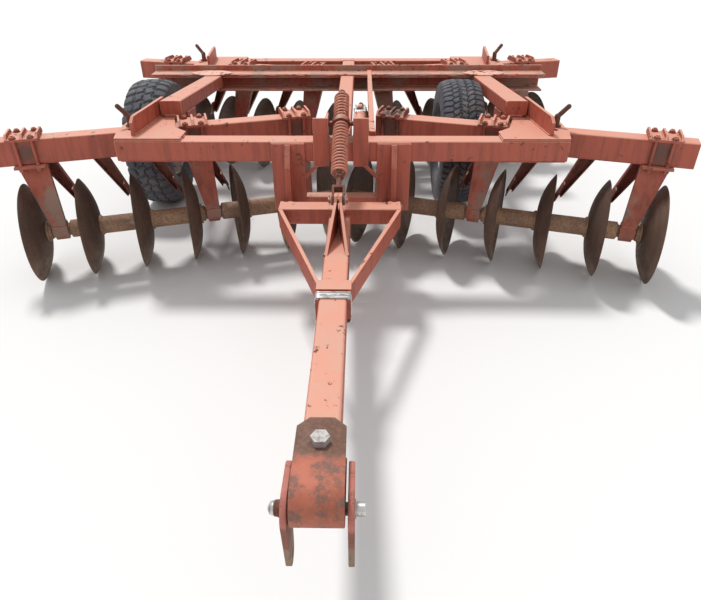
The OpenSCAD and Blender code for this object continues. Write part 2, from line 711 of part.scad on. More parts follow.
module lift_cylinder_rod() piece(worn_steel) cylinder_frame() {
  fork_r = 25;
  // The bridge of the fork clears the lever when the wheels are down
  fork_back = cyl_length - 114;
  along(piston_rod_r, 130, fork_back + 2);
  translate([-fork_in - eye_plate_t, fork_back, -fork_r]) cube([2 * (fork_in + eye_plate_t), 28, 2 * fork_r]);
  for (x = [-fork_in - eye_plate_t, fork_in]) translate([x, 0, 0]) {
    translate([0, fork_back, -fork_r]) cube([eye_plate_t, cyl_length - fork_back, 2 * fork_r]);
    translate([0, cyl_length, 0]) rotate([0, 90, 0]) cylinder(r = fork_r, h = eye_plate_t);
  }
  translate([0, cyl_length, 0]) rotate([0, 90, 0])
    cylinder(r = cyl_pin_r, h = 2 * (fork_in + eye_plate_t + 6), center = true);
}

wheel_arm = sqrt(pow(wheel_y + rock_y, 2) + pow(wheel_z - rock_z, 2));
wheel_arm_tilt = atan2(wheel_z - rock_z, wheel_y + rock_y);
spindle_r = 25;

// Cross tube with its two wheel arms, spindles and the cylinder's lever
module rockshaft() piece(paint) {
  hub_half = 60;
  translate([-arm_x - arm_t / 2 - 6, -rock_y, rock_z]) rotate([0, 90, 0])
    cylinder(r = rock_r, h = 2 * arm_x + arm_t + 12);
  for (side = [-1, 1]) translate([side * arm_x - arm_t / 2, 0, 0]) {
    translate([0, -rock_y, rock_z]) rotate([wheel_arm_tilt, 0, 0])
      translate([0, 0, 4 - rock_r]) cube([arm_t, wheel_arm, 2 * rock_r - 8]);
    // Hubs stand 2 proud of the arm on both sides
    translate([-2, -rock_y, rock_z]) rotate([0, 90, 0]) cylinder(r = rock_r + 10, h = arm_t + 4);
    translate([-2, wheel_y, wheel_z]) rotate([0, 90, 0]) cylinder(r = rock_r + 4, h = arm_t + 4);
  }
  for (side = [-1, 1]) translate([side * arm_x - wheel_side, wheel_y, wheel_z]) rotate([0, 90, 0]) {
    translate([0, 0, -hub_half - 4]) cylinder(r = spindle_r, h = wheel_side + hub_half + 4);
    translate([0, 0, -hub_half - 16]) cylinder(r = spindle_r + 10, h = 12);
  }
  // Lever
  translate([slot_x - lever_t / 2, -rock_y, rock_z]) rotate([90, 0, 90]) linear_extrude(lever_t) difference() {
    union() {
      polygon([[-28, 0], [28, 0], [lever_pin[0] + 26, lever_pin[1]], [lever_pin[0] - 26, lever_pin[1]]]);
      translate(lever_pin) circle(29);
    }
    translate(lever_pin) circle(cyl_pin_r + lever_slack);
  }
}

// A tyre about the x axis through its middle
module tyre_body(grooves) {
  r = tyre_r;
  h = tyre_w / 2;
  rim_r = 206;
  rotate([0, 90, 0]) difference() {
    rotate_extrude($fn = 72) polygon([[rim_r, -88], [rim_r + 22, -100], [r - 90, -h], [r - 40, -h + 2],
      [r - 10, 14 - h], [r, 34 - h], [r, h - 34], [r - 10, h - 14], [r - 40, h - 2], [r - 90, h],
      [rim_r + 22, 100], [rim_r, 88]]);
    for (g = grooves) translate([0, 0, g]) difference() {
      cylinder(r = r + 5, h = 11, center = true);
      cylinder(r = r - 11, h = 13, center = true);
    }
  }
}

module rim_body() rotate([0, 90, 0]) difference() {
  union() {
    rotate_extrude() polygon([[206, -88], [206, 88], [196, 88], [188, 40], [188, 20], [150, 8], [90, 20],
      [76, 20], [76, 59], [40, 59], [40, -59], [60, -59], [60, 8], [90, 8], [150, -4], [176, 8], [188, -40],
      [196, -88]]);
    cylinder(r = 62, h = 118, center = true);
  }
  cylinder(r = spindle_r + run_gap, h = 124, center = true);
  for (a = [0:45:315]) rotate([0, 0, a]) translate([125, 0, -20]) cylinder(r = 14, h = 60);
}

module left_wheel_place() translate([-arm_x - wheel_side, wheel_y, wheel_z]) children();
module right_wheel_place() translate([arm_x - wheel_side, wheel_y, wheel_z]) children();
module left_tyre() piece(rubber_black) left_wheel_place() tyre_body([-40, 40]);
module right_tyre() piece(rubber_black) right_wheel_place() tyre_body([-70, -24, 24, 70]);
module left_rim() piece(worn_steel) left_wheel_place() rim_body();
module right_rim() piece(worn_steel) right_wheel_place() rim_body();

// Drawbar frame: the slope of the tube about the cross member
module drawbar_slope() translate([0, -cross_y, drawbar_top]) rotate([-nose_rise, 0, 0]) children();

module drawbar_tube() piece(paint) difference() {
  drawbar_slope() translate([0, cross_y - nose_y, 0]) rotate([0, 0, 90]) box_tube(nose_y - cross_y, tube, tube);
  strap_frame() translate([0, hitch_bolt_y, -200]) cylinder(r = hitch_bolt_r + bolt_gap, h = 400);
}

cross_h = 80;
cross_top = 492;
cross_d = 90;
ear_t = 16;
ear_r = 25;
mast_in = 5;
mast_t = 12;
mast_r = 28;
mast_foot = 270;
mast_pin_half = 43;
brace_end = 660;
brace_h = 84;

// Cross member with its hinge ears, the two braces and the mast
module drawbar_frame() piece(paint) difference() {
  union() {
    translate([-cross_half, -cross_y + cross_d / 2, cross_top]) box_tube(2 * cross_half, cross_d, cross_h);
    both_sides() {
      for (x = [leg_x - fin_t / 2 - 1 - ear_t, leg_x + fin_t / 2 + 1]) translate([x, 0, 0]) rotate([90, 0, 90])
        linear_extrude(ear_t) {
          polygon([[cross_d - cross_y - 2, cross_top - cross_h + 4], [cross_d - cross_y - 2, cross_top - 4],
            [hinge_y, hinge_z + ear_r], [hinge_y, hinge_z - ear_r]]);
          translate([hinge_y, hinge_z]) circle(ear_r);
        }
      translate([leg_x - 50, hinge_y, hinge_z]) rotate([0, 90, 0]) cylinder(r = hinge_pin_r, h = 100);
      // Brace on edge from the cross member's end to the drawbar, then along it
      hull() {
        translate([cross_half - 16, -cross_y - 4, cross_top - 88]) cube([16, 8, 88]);
        translate([tube / 2, -cross_y - brace_end, cross_top - 96]) cube([mast_t, 8, brace_h]);
      }
      translate([tube / 2, -cross_y - brace_end - 100, cross_top - 96]) cube([mast_t, 104, brace_h]);
      // Mast plate: upright behind the pin, then spreading to the drawbar's side
      translate([mast_in, -mast_pin_y, 0]) rotate([90, 0, 90]) linear_extrude(mast_t)
        polygon([[mast_pin_y - cross_y, drawbar_top - 4], [mast_pin_y - cross_y, cross_top - 4], [mast_r, mast_pin_z],
          [mast_r / 2, mast_pin_z + mast_r - 4], [-mast_r / 2, mast_pin_z + mast_r - 4], [-mast_r - 4, mast_pin_z],
          [-mast_r - 4, drawbar_top - 4]]);
      translate([mast_in + mast_t, -mast_pin_y - mast_r, 0])
        rotate([0, 0, atan((tube / 2 - mast_in - mast_t) / (mast_foot - mast_r))])
          translate([-mast_t, 0, 0]) rotate([90, 0, 90]) linear_extrude(mast_t)
            polygon([[0, drawbar_top - 4], [0, mast_pin_z + 3], [mast_r - mast_foot, drawbar_top + 12],
              [mast_r - mast_foot, drawbar_top - 4]]);
    }
    translate([-mast_pin_half, -mast_pin_y, mast_pin_z]) rotate([0, 90, 0]) cylinder(r = 12, h = 2 * mast_pin_half);
    // Saddle over the drawbar between the braces' ends
    drawbar_slope() translate([-strap_w / 2, -brace_end - 40, seat_gap]) cube([strap_w, 70, 8]);
  }
  // Room for the drawbar tube
  drawbar_slope() translate([-tube / 2, -800, -tube]) cube([tube, 800, tube]);
}

// The pin hangs in the strap's nose, on its lower inner side
hitch_z = strap_z - (strap_r - strap_t) + hitch_pin_r + seat_gap;

// Place of the strap's round nose, and the drawbar's own slope there
module strap_frame() translate([0, strap_y, strap_z]) rotate([-nose_rise, 0, 0]) children();

strap_back = 215;
strap_cut = 32;
hitch_bolt_r = 14;
hitch_bolt_y = hitch_y - 2780;

// Strap folded round the nose of the drawbar
module hitch_strap() piece(rust) strap_frame() difference() {
  union() {
    translate([0, 0, -strap_r]) linear_extrude(2 * strap_r)
      polygon([[-strap_w / 2, 0], [strap_w / 2, 0], [strap_w / 2, strap_back - strap_cut],
        [strap_w / 2 - strap_cut, strap_back], [strap_cut - strap_w / 2, strap_back],
        [-strap_w / 2, strap_back - strap_cut]]);
    rotate([0, 90, 0]) cylinder(r = strap_r, h = strap_w, center = true);
  }
  translate([-strap_w, 0, strap_t - strap_r]) cube([2 * strap_w, strap_back + 10, 2 * (strap_r - strap_t)]);
  rotate([0, 90, 0]) cylinder(r = strap_r - strap_t, h = 2 * strap_w, center = true);
  translate([0, hitch_bolt_y, -200]) cylinder(r = hitch_bolt_r + bolt_gap, h = 400);
}

module hitch_bolt() piece(worn_steel) strap_frame() translate([0, hitch_bolt_y, 0]) {
  translate([0, 0, -strap_r - 34]) cylinder(r = hitch_bolt_r, h = 2 * strap_r + 36);
  translate([0, 0, strap_r]) cylinder(r = 26, h = 20, $fn = 6);
  translate([0, 0, -strap_r - 24]) cylinder(r = 26, h = 24, $fn = 6);
}

cheek_x = 72;
cheek_t = 16;
cheek_r = 58;
lobe = [88, 18];
lobe_r = 34;

module hitch_pin() piece(worn_steel) translate([-cheek_x - cheek_t - 30, strap_y, hitch_z]) rotate([0, 90, 0])
  cylinder(r = hitch_pin_r, h = 2 * (cheek_x + cheek_t) + 42);

// The two plates that hang on the pin and take the tow eye's pin at their lower ends
module hitch_cheeks() piece(rust) both_sides() translate([cheek_x, strap_y, 0]) rotate([90, 0, 90])
  linear_extrude(cheek_t) difference() {
    union() {
      translate([0, hitch_z]) circle(cheek_r);
      polygon([[-cheek_r, hitch_z], [cheek_r, hitch_z], [34, eye_z], [-34, eye_z]]);
      translate([0, eye_z]) circle(34);
      // Lobe that leans back along the drawbar
      polygon([[0, hitch_z - cheek_r], [0, hitch_z + cheek_r], [lobe[0], hitch_z + lobe[1] + lobe_r],
        [lobe[0], hitch_z + lobe[1] - lobe_r]]);
      translate([lobe[0], hitch_z + lobe[1]]) circle(lobe_r);
    }
    translate([0, hitch_z]) circle(hitch_pin_r + run_gap);
    translate([0, eye_z]) circle(eye_r);
  }

link_tilt = atan2(trunnion_z - mast_pin_z, mast_pin_y - tube_y);
link_to_trunnion = sqrt(pow(trunnion_z - mast_pin_z, 2) + pow(mast_pin_y - tube_y, 2));
spring_front = 160;
spring_back = link_to_trunnion + 210;
collar_half = 15;
rod_r = 12.5;
nut_r = 23;

// The levelling link's own frame: +Y from the mast pin towards the trunnion
module link_frame() translate([0, -mast_pin_y, mast_pin_z]) rotate([link_tilt, 0, 0]) children();

// Threaded rod with a fork that straddles the mast
module spring_rod() piece(rust) link_frame() difference() {
  fork_r = 22;
  fork_gap = 1.5;
  fork_t = 10;
  fork_out = mast_in + mast_t + fork_gap + fork_t;
  fork_back = 78;
  union() {
    for (x = [-fork_out, fork_out - fork_t]) translate([x, 0, 0]) {
      rotate([0, 90, 0]) cylinder(r = fork_r, h = fork_t);
      translate([0, 0, -fork_r + 4]) cube([fork_t, fork_back, 2 * fork_r - 8]);
    }
    translate([-fork_out, fork_back - 14, -fork_r + 4]) cube([2 * fork_out, 14, 2 * fork_r - 8]);
    along(rod_r, fork_back - 4, spring_back + 40);
    translate([0, spring_front - 24, 0]) rotate([-90, 0, 0]) cylinder(r = nut_r, h = 20, $fn = 6);
    translate([0, spring_back + 4, 0]) rotate([-90, 0, 0]) cylinder(r = nut_r, h = 20, $fn = 6);
  }
  rotate([0, 90, 0]) cylinder(r = 12 + run_gap, h = 3 * fork_out, center = true);
}

// A coil of round wire along +Y, from one length along the axis to the other
module coil(from, to, turns) {
  sides = 6;
  per_turn = 14;
  r = (spring_d - spring_wire) / 2;
  w = spring_wire / 2;
  run = to - from - spring_wire;
  n = ceil(turns * per_turn);
  points = [for (i = [0:n], j = [0:sides - 1])
    let (a = 360 * turns * i / n, b = 360 * j / sides, d = r + w * cos(b))
    [d * cos(a), from + w + run * i / n + w * sin(b), d * sin(a)]];
  walls = [for (i = [0:n - 1], j = [0:sides - 1]) let (k = (j + 1) % sides)
    [i * sides + j, i * sides + k, (i + 1) * sides + k, (i + 1) * sides + j]];
  ends = [[for (j = [sides - 1:-1:0]) j], [for (j = [0:sides - 1]) n * sides + j]];
  polyhedron(points, concat(walls, ends));
}

module levelling_spring() piece(paint) link_frame() {
  coil(spring_front, link_to_trunnion - collar_half - 0.3, turns_front);
  coil(link_to_trunnion + collar_half + 0.3, spring_back, turns_rear);
}

module spring_collar() piece(paint_dark) link_frame() difference() {
  union() {
    along(spring_d / 2 + 6, link_to_trunnion - collar_half, link_to_trunnion + collar_half);
    translate([0, link_to_trunnion, 0]) rotate([0, 90, 0])
      cylinder(r = trunnion_r, h = 2 * upright_in + 32, center = true);
  }
  along(rod_r + 4.5, link_to_trunnion - 60, link_to_trunnion + 60);
}

front_tube();
rear_tube();
centre_beam();
stay_bar();
side_rails();
rear_cross();
corner_brackets();
centre_ties();
front_gang_beams();
rear_gang_beams();
gang_pins();
front_hangers();
rear_hangers();
front_clamps();
rear_clamps();
front_scrapers();
rear_scrapers();
hinge_legs();
spring_uprights();
rockshaft_hangers();
cylinder_anchor();
discs_front_left();
discs_front_right();
discs_rear_left();
discs_rear_right();
axle_front_left();
axle_front_right();
axle_rear_left();
axle_rear_right();
rockshaft();
left_tyre();
right_tyre();
left_rim();
right_rim();
lift_cylinder();
lift_cylinder_rod();
drawbar_tube();
drawbar_frame();
hitch_strap();
hitch_bolt();
hitch_cheeks();
hitch_pin();
spring_rod();
levelling_spring();
spring_collar();
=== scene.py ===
"""Finish of a trailed disc harrow: materials, tyres, discs, spring, welds and the stage."""
import json
import math

import bmesh
import bpy
import numpy as np
from mathutils import Matrix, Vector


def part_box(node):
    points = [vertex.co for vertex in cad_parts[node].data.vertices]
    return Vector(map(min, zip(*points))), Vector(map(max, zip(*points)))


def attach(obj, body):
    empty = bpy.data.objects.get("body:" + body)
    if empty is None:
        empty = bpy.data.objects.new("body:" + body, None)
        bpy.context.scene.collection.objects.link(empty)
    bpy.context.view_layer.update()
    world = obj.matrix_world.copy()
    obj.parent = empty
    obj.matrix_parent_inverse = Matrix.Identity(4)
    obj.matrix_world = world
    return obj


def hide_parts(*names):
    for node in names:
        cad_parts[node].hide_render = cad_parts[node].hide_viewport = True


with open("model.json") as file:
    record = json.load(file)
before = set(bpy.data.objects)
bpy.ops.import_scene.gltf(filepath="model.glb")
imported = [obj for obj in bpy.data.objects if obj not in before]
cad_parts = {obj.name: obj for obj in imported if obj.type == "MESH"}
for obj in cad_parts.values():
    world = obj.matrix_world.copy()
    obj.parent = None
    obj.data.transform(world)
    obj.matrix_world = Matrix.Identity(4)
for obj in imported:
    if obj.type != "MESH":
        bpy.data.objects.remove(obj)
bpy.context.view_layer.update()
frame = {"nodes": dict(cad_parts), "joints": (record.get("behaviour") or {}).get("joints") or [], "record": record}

bl_info = {
    "name": "Disc harrow finish",
    "version": (1, 0, 0),
    "blender": (4, 5, 0),
    "location": "View3D > Sidebar > Harrow",
    "description": "Materials, tyres, discs, spring and small parts of a disc harrow",
    "category": "Object",
}

MM = 0.001
JOINTS = {joint["name"]: joint for joint in frame["joints"]}
MIDDLE = (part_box("front_tube")[0].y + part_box("rear_tube")[1].y) / 2


def pivot(joint):
    """A joint's place as an array, in metres."""
    return np.array(JOINTS[joint]["pos_m"], float)


def direction(joint):
    """A joint's axis as an array of unit length."""
    axis = np.array(JOINTS[joint]["axis"], float)
    return axis / np.linalg.norm(axis)


def at(x, y, z):
    """A point in metres from millimetres, with y measured from the middle of the frame."""
    return np.array([x * MM, y * MM + MIDDLE, z * MM])


# Surfaces


def grid(points, close_rows=False, close_cols=False):
    """A shell from a grid of points of shape (rows, cols, 3), as its points and its four-sided faces.

    Face (i, j) joins the points (i, j), (i, j + 1), (i + 1, j + 1) and (i + 1, j), and the last
    row or column joins the first where it is closed.
    """
    rows, cols = points.shape[:2]
    i = np.arange(rows if close_rows else rows - 1)
    j = np.arange(cols if close_cols else cols - 1)
    i, j = np.meshgrid(i, j, indexing="ij")
    after_i, after_j = (i + 1) % rows, (j + 1) % cols
    quads = np.stack([i * cols + j, i * cols + after_j, after_i * cols + after_j, after_i * cols + j], -1)
    return points.reshape(-1, 3), quads.reshape(-1, 4)


def frame_of(axis, up=(0.0, 0.0, 1.0)):
    """Three unit vectors as columns: the axis, one across it, and one nearest to up."""
    a = np.asarray(axis, float)
    a = a / np.linalg.norm(a)
    side = np.cross(up, a)
    if np.linalg.norm(side) < 1e-6:
        side = np.cross((0.0, 1.0, 0.0), a)
    side = side / np.linalg.norm(side)
    return np.stack([a, side, np.cross(a, side)], 1)


def placed(points, origin, axis, up=(0.0, 0.0, 1.0)):
    """Points whose first coordinate runs along axis, moved to origin."""
    return points @ frame_of(axis, up).T + np.asarray(origin, float)


def revolved(profile, steps, origin, axis):
    """A profile of (radius, distance along the axis) turned round an axis.

    The point at profile place p and turn a is (z(p), r(p) cos a, r(p) sin a) in the axis's frame.
    """
    r, z = np.asarray(profile, float).T
    a = np.linspace(0, 2 * np.pi, steps, endpoint=False)[:, None]
    points = np.stack([np.broadcast_to(z, (steps, len(z))), r * np.cos(a), r * np.sin(a)], -1)
    return grid(placed(points, origin, axis), close_rows=True)


def swept(path, radius, sides):
    """A round bar carried along a path, with its ends closed on the path.

    The ring at path point p is p + r (cos b, sin b) in the plane across the path's direction, and
    each ring's first vector is the last ring's, projected on its plane.
    """
    path = np.asarray(path, float)
    tangent = np.gradient(path, axis=0)
    tangent /= np.linalg.norm(tangent, axis=1)[:, None]
    first = frame_of(tangent[0])[:, 1]
    across = np.empty_like(path)
    for i, t in enumerate(tangent):
        first = first - t * (first @ t)
        first = first / np.linalg.norm(first)
        across[i] = first
    other = np.cross(tangent, across)
    radii = np.full(len(path), radius) if np.isscalar(radius) else np.asarray(radius, float)
    path, across, other = (np.concatenate([v[:1], v, v[-1:]]) for v in (path, across, other))
    radii = np.concatenate([[0.0], radii, [0.0]])
    b = np.linspace(0, 2 * np.pi, sides, endpoint=False)[None, :, None]
    ring = np.cos(b) * across[:, None] + np.sin(b) * other[:, None]
    return grid(path[:, None] + radii[:, None, None] * ring, close_cols=True)


def prism(profile, length, origin, axis, chamfer, up=(0.0, 0.0, 1.0)):
    """An outline of (across, up) points carried along an axis, narrowed by a chamfer at both ends.

    Ring k is the outline times (1 - chamfer / its radius) at the two ends and 1 between them, and
    both ends close on the outline's middle.
    """
    outline = np.asarray(profile, float)
    middle = outline.mean(0)
    size = np.linalg.norm(outline - middle, axis=1).max()
    shrink = 1 - chamfer / size
    scale = np.array([0.0, shrink, 1.0, 1.0, shrink, 0.0])
    along = np.array([0.0, 0.0, chamfer, length - chamfer, length, length])
    flat = middle + scale[:, None, None] * (outline - middle)
    x = np.broadcast_to(along[:, None, None], flat.shape[:2] + (1,))
    return grid(placed(np.concatenate([x, flat], -1), origin, axis, up), close_cols=True)


def hexagon(radius):
    """The six corners of a hexagon of that radius."""
    a = np.radians(np.arange(0, 360, 60))
    return np.stack([radius * np.cos(a), radius * np.sin(a)], -1)


def both_sides(shells):
    """Shells and their mirror images across the plane x = 0, whose faces are turned to match."""
    return shells + [(points * (-1, 1, 1), quads[:, ::-1]) for points, quads in shells]


def piece(name, shells, body, slot, finish=None, smooth=35.0, polar=None):
    """One object from several shells, its doubles merged and its faces pointing outwards.

    Its finish is its slot's own if none is named. polar holds three values for each point, which
    a material reads as the attribute of that name.
    """
    starts = np.cumsum([0] + [len(p) for p, _ in shells[:-1]])
    points = np.concatenate([p for p, _ in shells])
    quads = np.concatenate([q + start for (_, q), start in zip(shells, starts)])
    mesh = bpy.data.meshes.new(name)
    mesh.vertices.add(len(points))
    mesh.vertices.foreach_set("co", points.astype(np.float32).ravel())
    mesh.loops.add(quads.size)
    mesh.loops.foreach_set("vertex_index", quads.astype(np.int32).ravel())
    mesh.polygons.add(len(quads))
    mesh.polygons.foreach_set("loop_start", np.arange(0, quads.size, 4, dtype=np.int32))
    mesh.update(calc_edges=True)
    if polar is not None:
        layer = mesh.attributes.new("polar", "FLOAT_VECTOR", "POINT")
        layer.data.foreach_set("vector", np.asarray(polar, np.float32).ravel())
    work = bmesh.new()
    work.from_mesh(mesh)
    bmesh.ops.remove_doubles(work, verts=work.verts, dist=2e-6)
    bmesh.ops.recalc_face_normals(work, faces=work.faces)
    work.to_mesh(mesh)
    work.free()
    mesh.polygons.foreach_set("use_smooth", np.ones(len(mesh.polygons), bool))
    mesh.set_sharp_from_angle(angle=math.radians(smooth))
    obj = bpy.data.objects.new(name, mesh)
    bpy.context.scene.collection.objects.link(obj)
    mesh.materials.append(finish_of(finish or slot))
    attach(obj, body)
    return obj


# Materials


class Shader:
    """Builds one node material, with short calls for the nodes that it uses."""

    def __init__(self, name, roughness, metallic=0.0):
        self.material = bpy.data.materials.new(name)
        self.material.use_nodes = True
        self.tree = self.material.node_tree
        self.surface = self.tree.nodes["Principled BSDF"]
        self.surface.inputs["Roughness"].default_value = roughness
        self.surface.inputs["Metallic"].default_value = metallic
        self.place = self.tree.nodes.new("ShaderNodeTexCoord").outputs["Object"]

    def put(self, socket, value):
        """Links a socket to an output, or sets it to a value."""
        if isinstance(value, bpy.types.NodeSocket):
            self.tree.links.new(value, socket)
        elif hasattr(value, "__len__") and len(value) == 3 and socket.type == "RGBA":
            socket.default_value = (*value, 1.0)
        else:
            socket.default_value = value

    def attribute(self, name):
        """The piece's own values of that name."""
        node = self.tree.nodes.new("ShaderNodeAttribute")
        node.attribute_name = name
        return node.outputs["Vector"]

    def stretched(self, *scale):
        """The object's coordinates, scaled on each axis."""
        node = self.tree.nodes.new("ShaderNodeMapping")
        node.inputs["Scale"].default_value = scale
        self.tree.links.new(self.place, node.inputs["Vector"])
        return node.outputs["Vector"]

    def noise(self, scale, detail=4.0, roughness=0.6, place=None):
        """Soft noise from 0 to 1, scale in features to the metre."""
        node = self.tree.nodes.new("ShaderNodeTexNoise")
        node.inputs["Scale"].default_value = scale
        node.inputs["Detail"].default_value = detail
        node.inputs["Roughness"].default_value = roughness
        self.tree.links.new(self.place if place is None else place, node.inputs["Vector"])
        return node.outputs["Fac"]

    def step(self, value, low, high, to_low=0.0, to_high=1.0):
        """A smooth step of value from low to high."""
        node = self.tree.nodes.new("ShaderNodeMapRange")
        node.interpolation_type = "SMOOTHSTEP"
        self.put(node.inputs["Value"], value)
        node.inputs["From Min"].default_value = low
        node.inputs["From Max"].default_value = high
        node.inputs["To Min"].default_value = to_low
        node.inputs["To Max"].default_value = to_high
        return node.outputs["Result"]

    def math(self, operation, a, b=0.0):
        """One sum on two values."""
        node = self.tree.nodes.new("ShaderNodeMath")
        node.operation = operation
        self.put(node.inputs[0], a)
        self.put(node.inputs[1], b)
        return node.outputs[0]

    def mix(self, factor, a, b):
        """Colour a where factor is 0 and colour b where it is 1."""
        node = self.tree.nodes.new("ShaderNodeMix")
        node.data_type = "RGBA"
        self.put(node.inputs["Factor"], factor)
        self.put(node.inputs["A"], a)
        self.put(node.inputs["B"], b)
        return node.outputs["Result"]

    def product(self, a, b):
        """The product of two values."""
        return self.math("MULTIPLY", a, b)

    def patches(self, scale, detail, roughness, low, high):
        """Soft patches: noise with a smooth step from low to high."""
        return self.step(self.noise(scale, detail, roughness), low, high)

    def over(self, colour, paint, mask, share):
        """A colour with a film of paint on it where the mask is 1, as full as its share."""
        return self.mix(self.product(mask, share), colour, paint)

    def part_of(self, vector, axis):
        """The x, y or z of a vector."""
        split = self.tree.nodes.new("ShaderNodeSeparateXYZ")
        self.tree.links.new(vector, split.inputs[0])
        return split.outputs[axis]

    def facing_up(self):
        """How far the surface faces up: 1 on a flat top, 0 on a wall, below 0 underneath."""
        return self.part_of(self.tree.nodes.new("ShaderNodeNewGeometry").outputs["Normal"], "Z")

    def near(self, point, radius):
        """1 close to a point and 0 further away than the radius, with a ragged border."""
        node = self.tree.nodes.new("ShaderNodeVectorMath")
        node.operation = "DISTANCE"
        self.tree.links.new(self.place, node.inputs[0])
        node.inputs[1].default_value = tuple(point)
        drift = self.product(self.noise(22.0, 5.0, 0.7), radius)
        ragged = self.math("ADD", node.outputs["Value"], drift)
        return self.step(ragged, 0.8 * radius, 1.5 * radius, 1.0, 0.0)

    def height(self):
        """Height above the ground in metres."""
        return self.part_of(self.place, "Z")

    def bump(self, height, distance, strength=1.0):
        """Roughens the surface by height, in metres of distance."""
        node = self.tree.nodes.new("ShaderNodeBump")
        node.inputs["Strength"].default_value = strength
        node.inputs["Distance"].default_value = distance
        self.put(node.inputs["Height"], height)
        self.tree.links.new(node.outputs["Normal"], self.surface.inputs["Normal"])

    def finish(self, colour, roughness=None, metallic=None):
        """Links the colour and, where given, the roughness and the metal of the surface."""
        self.put(self.surface.inputs["Base Color"], colour)
        if roughness is not None:
            self.put(self.surface.inputs["Roughness"], roughness)
        if metallic is not None:
            self.put(self.surface.inputs["Metallic"], metallic)
        return self.material


def scaled(colour, factor):
    """A colour made darker or brighter, none of its values above 1."""
    return tuple(min(1.0, factor * value) for value in colour)


def weathered_paint(name, shade, sunlit_faded_top, rust, wear=0.5, dust=(0.52, 0.40, 0.31), dusty=0.35,
                    soil=0.0, stains=(), stain=(0.085, 0.05, 0.038), reach=0.07, deep=0.8):
    """Old red paint: lighter on top, partly from sun fading and partly as painted sunlight, with painted shade on
    its walls, which are streaked, and with rust spots and dust.

    soil is the share of a dry soil film in broad patches. Each point in the list of dark patches is the middle
    of a patch of their darker colour, as far as reach and as full as deep.
    """
    s = Shader(name, roughness=0.6)
    broad = s.noise(2.3, 3.0)
    fine = s.noise(34.0, 6.0, 0.65)
    streak = s.noise(1.0, 5.0, 0.6, place=s.stretched(36.0, 36.0, 3.5))
    up = s.facing_up()
    # Painted sunlight with sun fading: the more a face turns up, the nearer it comes to the lit top colour; walls
    # keep the darker colour as painted shade.
    sunlit_and_faded = s.step(s.math("ADD", up, s.product(broad, 0.35)), 0.45, 1.0)
    base = s.mix(sunlit_and_faded, shade, sunlit_faded_top)
    darker = s.mix(s.step(streak, 0.42, 0.68), base, scaled(shade, 0.62))
    walls = s.mix(s.product(s.math("SUBTRACT", 1.0, sunlit_and_faded), 0.75), base, darker)
    laid = s.product(s.step(up, 0.5, 0.98), s.patches(7.0, 5.0, 0.7, 0.42, 0.72))
    dusted = s.mix(s.product(laid, dusty), walls, dust)
    chips = s.math("ADD", s.product(fine, 0.6), s.product(s.noise(9.0, 5.0, 0.7), 0.4))
    spots = s.step(chips, 0.64 - 0.12 * wear, 0.69 - 0.12 * wear)
    colour = s.mix(spots, dusted, rust)
    if soil > 0:
        film = s.patches(4.2, 5.0, 0.65, 0.44, 0.60)
        colour = s.over(colour, (0.33, 0.23, 0.17), film, soil)
    # Darker patches round the given points
    for point in stains:
        colour = s.over(colour, stain, s.near(point, reach), deep)
    s.bump(s.math("SUBTRACT", s.product(fine, 0.5), s.product(spots, 0.35)), 0.0012, 0.6)
    return s.finish(colour, roughness=s.step(spots, 0.0, 1.0, 0.56, 0.9))


def rusted_steel(name, dark, light, grey):
    """Steel gone brown all over, with orange and grey patches and a pitted surface."""
    s = Shader(name, roughness=0.8)
    patch = s.patches(6.0, 6.0, 0.7, 0.36, 0.66)
    fine = s.noise(90.0, 6.0, 0.7)
    base = s.mix(patch, dark, light)
    worn = s.patches(16.0, 5.0, 0.65, 0.55, 0.68)
    colour = s.mix(s.product(worn, 0.6), base, grey)
    colour = s.mix(s.step(fine, 0.35, 0.75), colour, scaled(dark, 0.6))
    s.bump(fine, 0.0012, 0.7)
    return s.finish(colour, roughness=s.step(worn, 0.0, 1.0, 0.85, 0.55), metallic=s.product(worn, 0.25))


def scraped_paint(name, red, bare, brown, back, dark_spot):
    """A thick strap: red paint scraped to grey-brown metal in patches, and rust behind a line in y.

    back is the pair of distances in metres along y between which the paint gives way to the rust,
    and the last argument gives the middle of a near-black patch.
    """
    s = Shader(name, roughness=0.75)
    patch = s.patches(17.0, 8.0, 0.72, 0.47, 0.58)
    fine = s.noise(75.0, 6.0, 0.7)
    colour = s.mix(s.patches(7.0, 4.0, 0.6, 0.4, 0.7), red, scaled(red, 1.25))
    colour = s.over(colour, bare, patch, 0.85)
    colour = s.over(colour, (0.42, 0.25, 0.18), s.step(fine, 0.52, 0.72), 0.55)
    ragged = s.math("ADD", s.part_of(s.place, "Y"), s.product(s.noise(30.0, 5.0, 0.7), 0.04))
    rust = s.mix(s.step(fine, 0.4, 0.7), brown, scaled(brown, 1.5))
    colour = s.mix(s.step(ragged, *back), colour, rust)
    # A near-black patch round that point
    colour = s.mix(s.near(dark_spot, 0.026), colour, (0.022, 0.012, 0.009))
    s.bump(s.math("ADD", fine, s.product(patch, -0.4)), 0.0014, 0.7)
    return s.finish(colour, roughness=s.step(patch, 0.0, 1.0, 0.68, 0.85))


def banded_paint(name, bands):
    """Paint that changes with the height: rows of a height in metres and the colour above it."""
    s = Shader(name, roughness=0.7)
    fine = s.noise(60.0, 6.0, 0.7)
    drift = s.product(s.math("SUBTRACT", s.noise(24.0, 5.0, 0.7), 0.5), 0.06)
    ragged = s.math("ADD", s.height(), drift)
    colour = bands[0][1]
    for height, paint in bands[1:]:
        colour = s.mix(s.step(ragged, height - 0.012, height + 0.012), colour, paint)
    rusty = s.patches(26.0, 6.0, 0.7, 0.52, 0.64)
    colour = s.over(colour, (0.15, 0.07, 0.045), rusty, 0.7)
    s.bump(fine, 0.0010, 0.6)
    return s.finish(colour, roughness=s.step(fine, 0.3, 0.7, 0.6, 0.85))


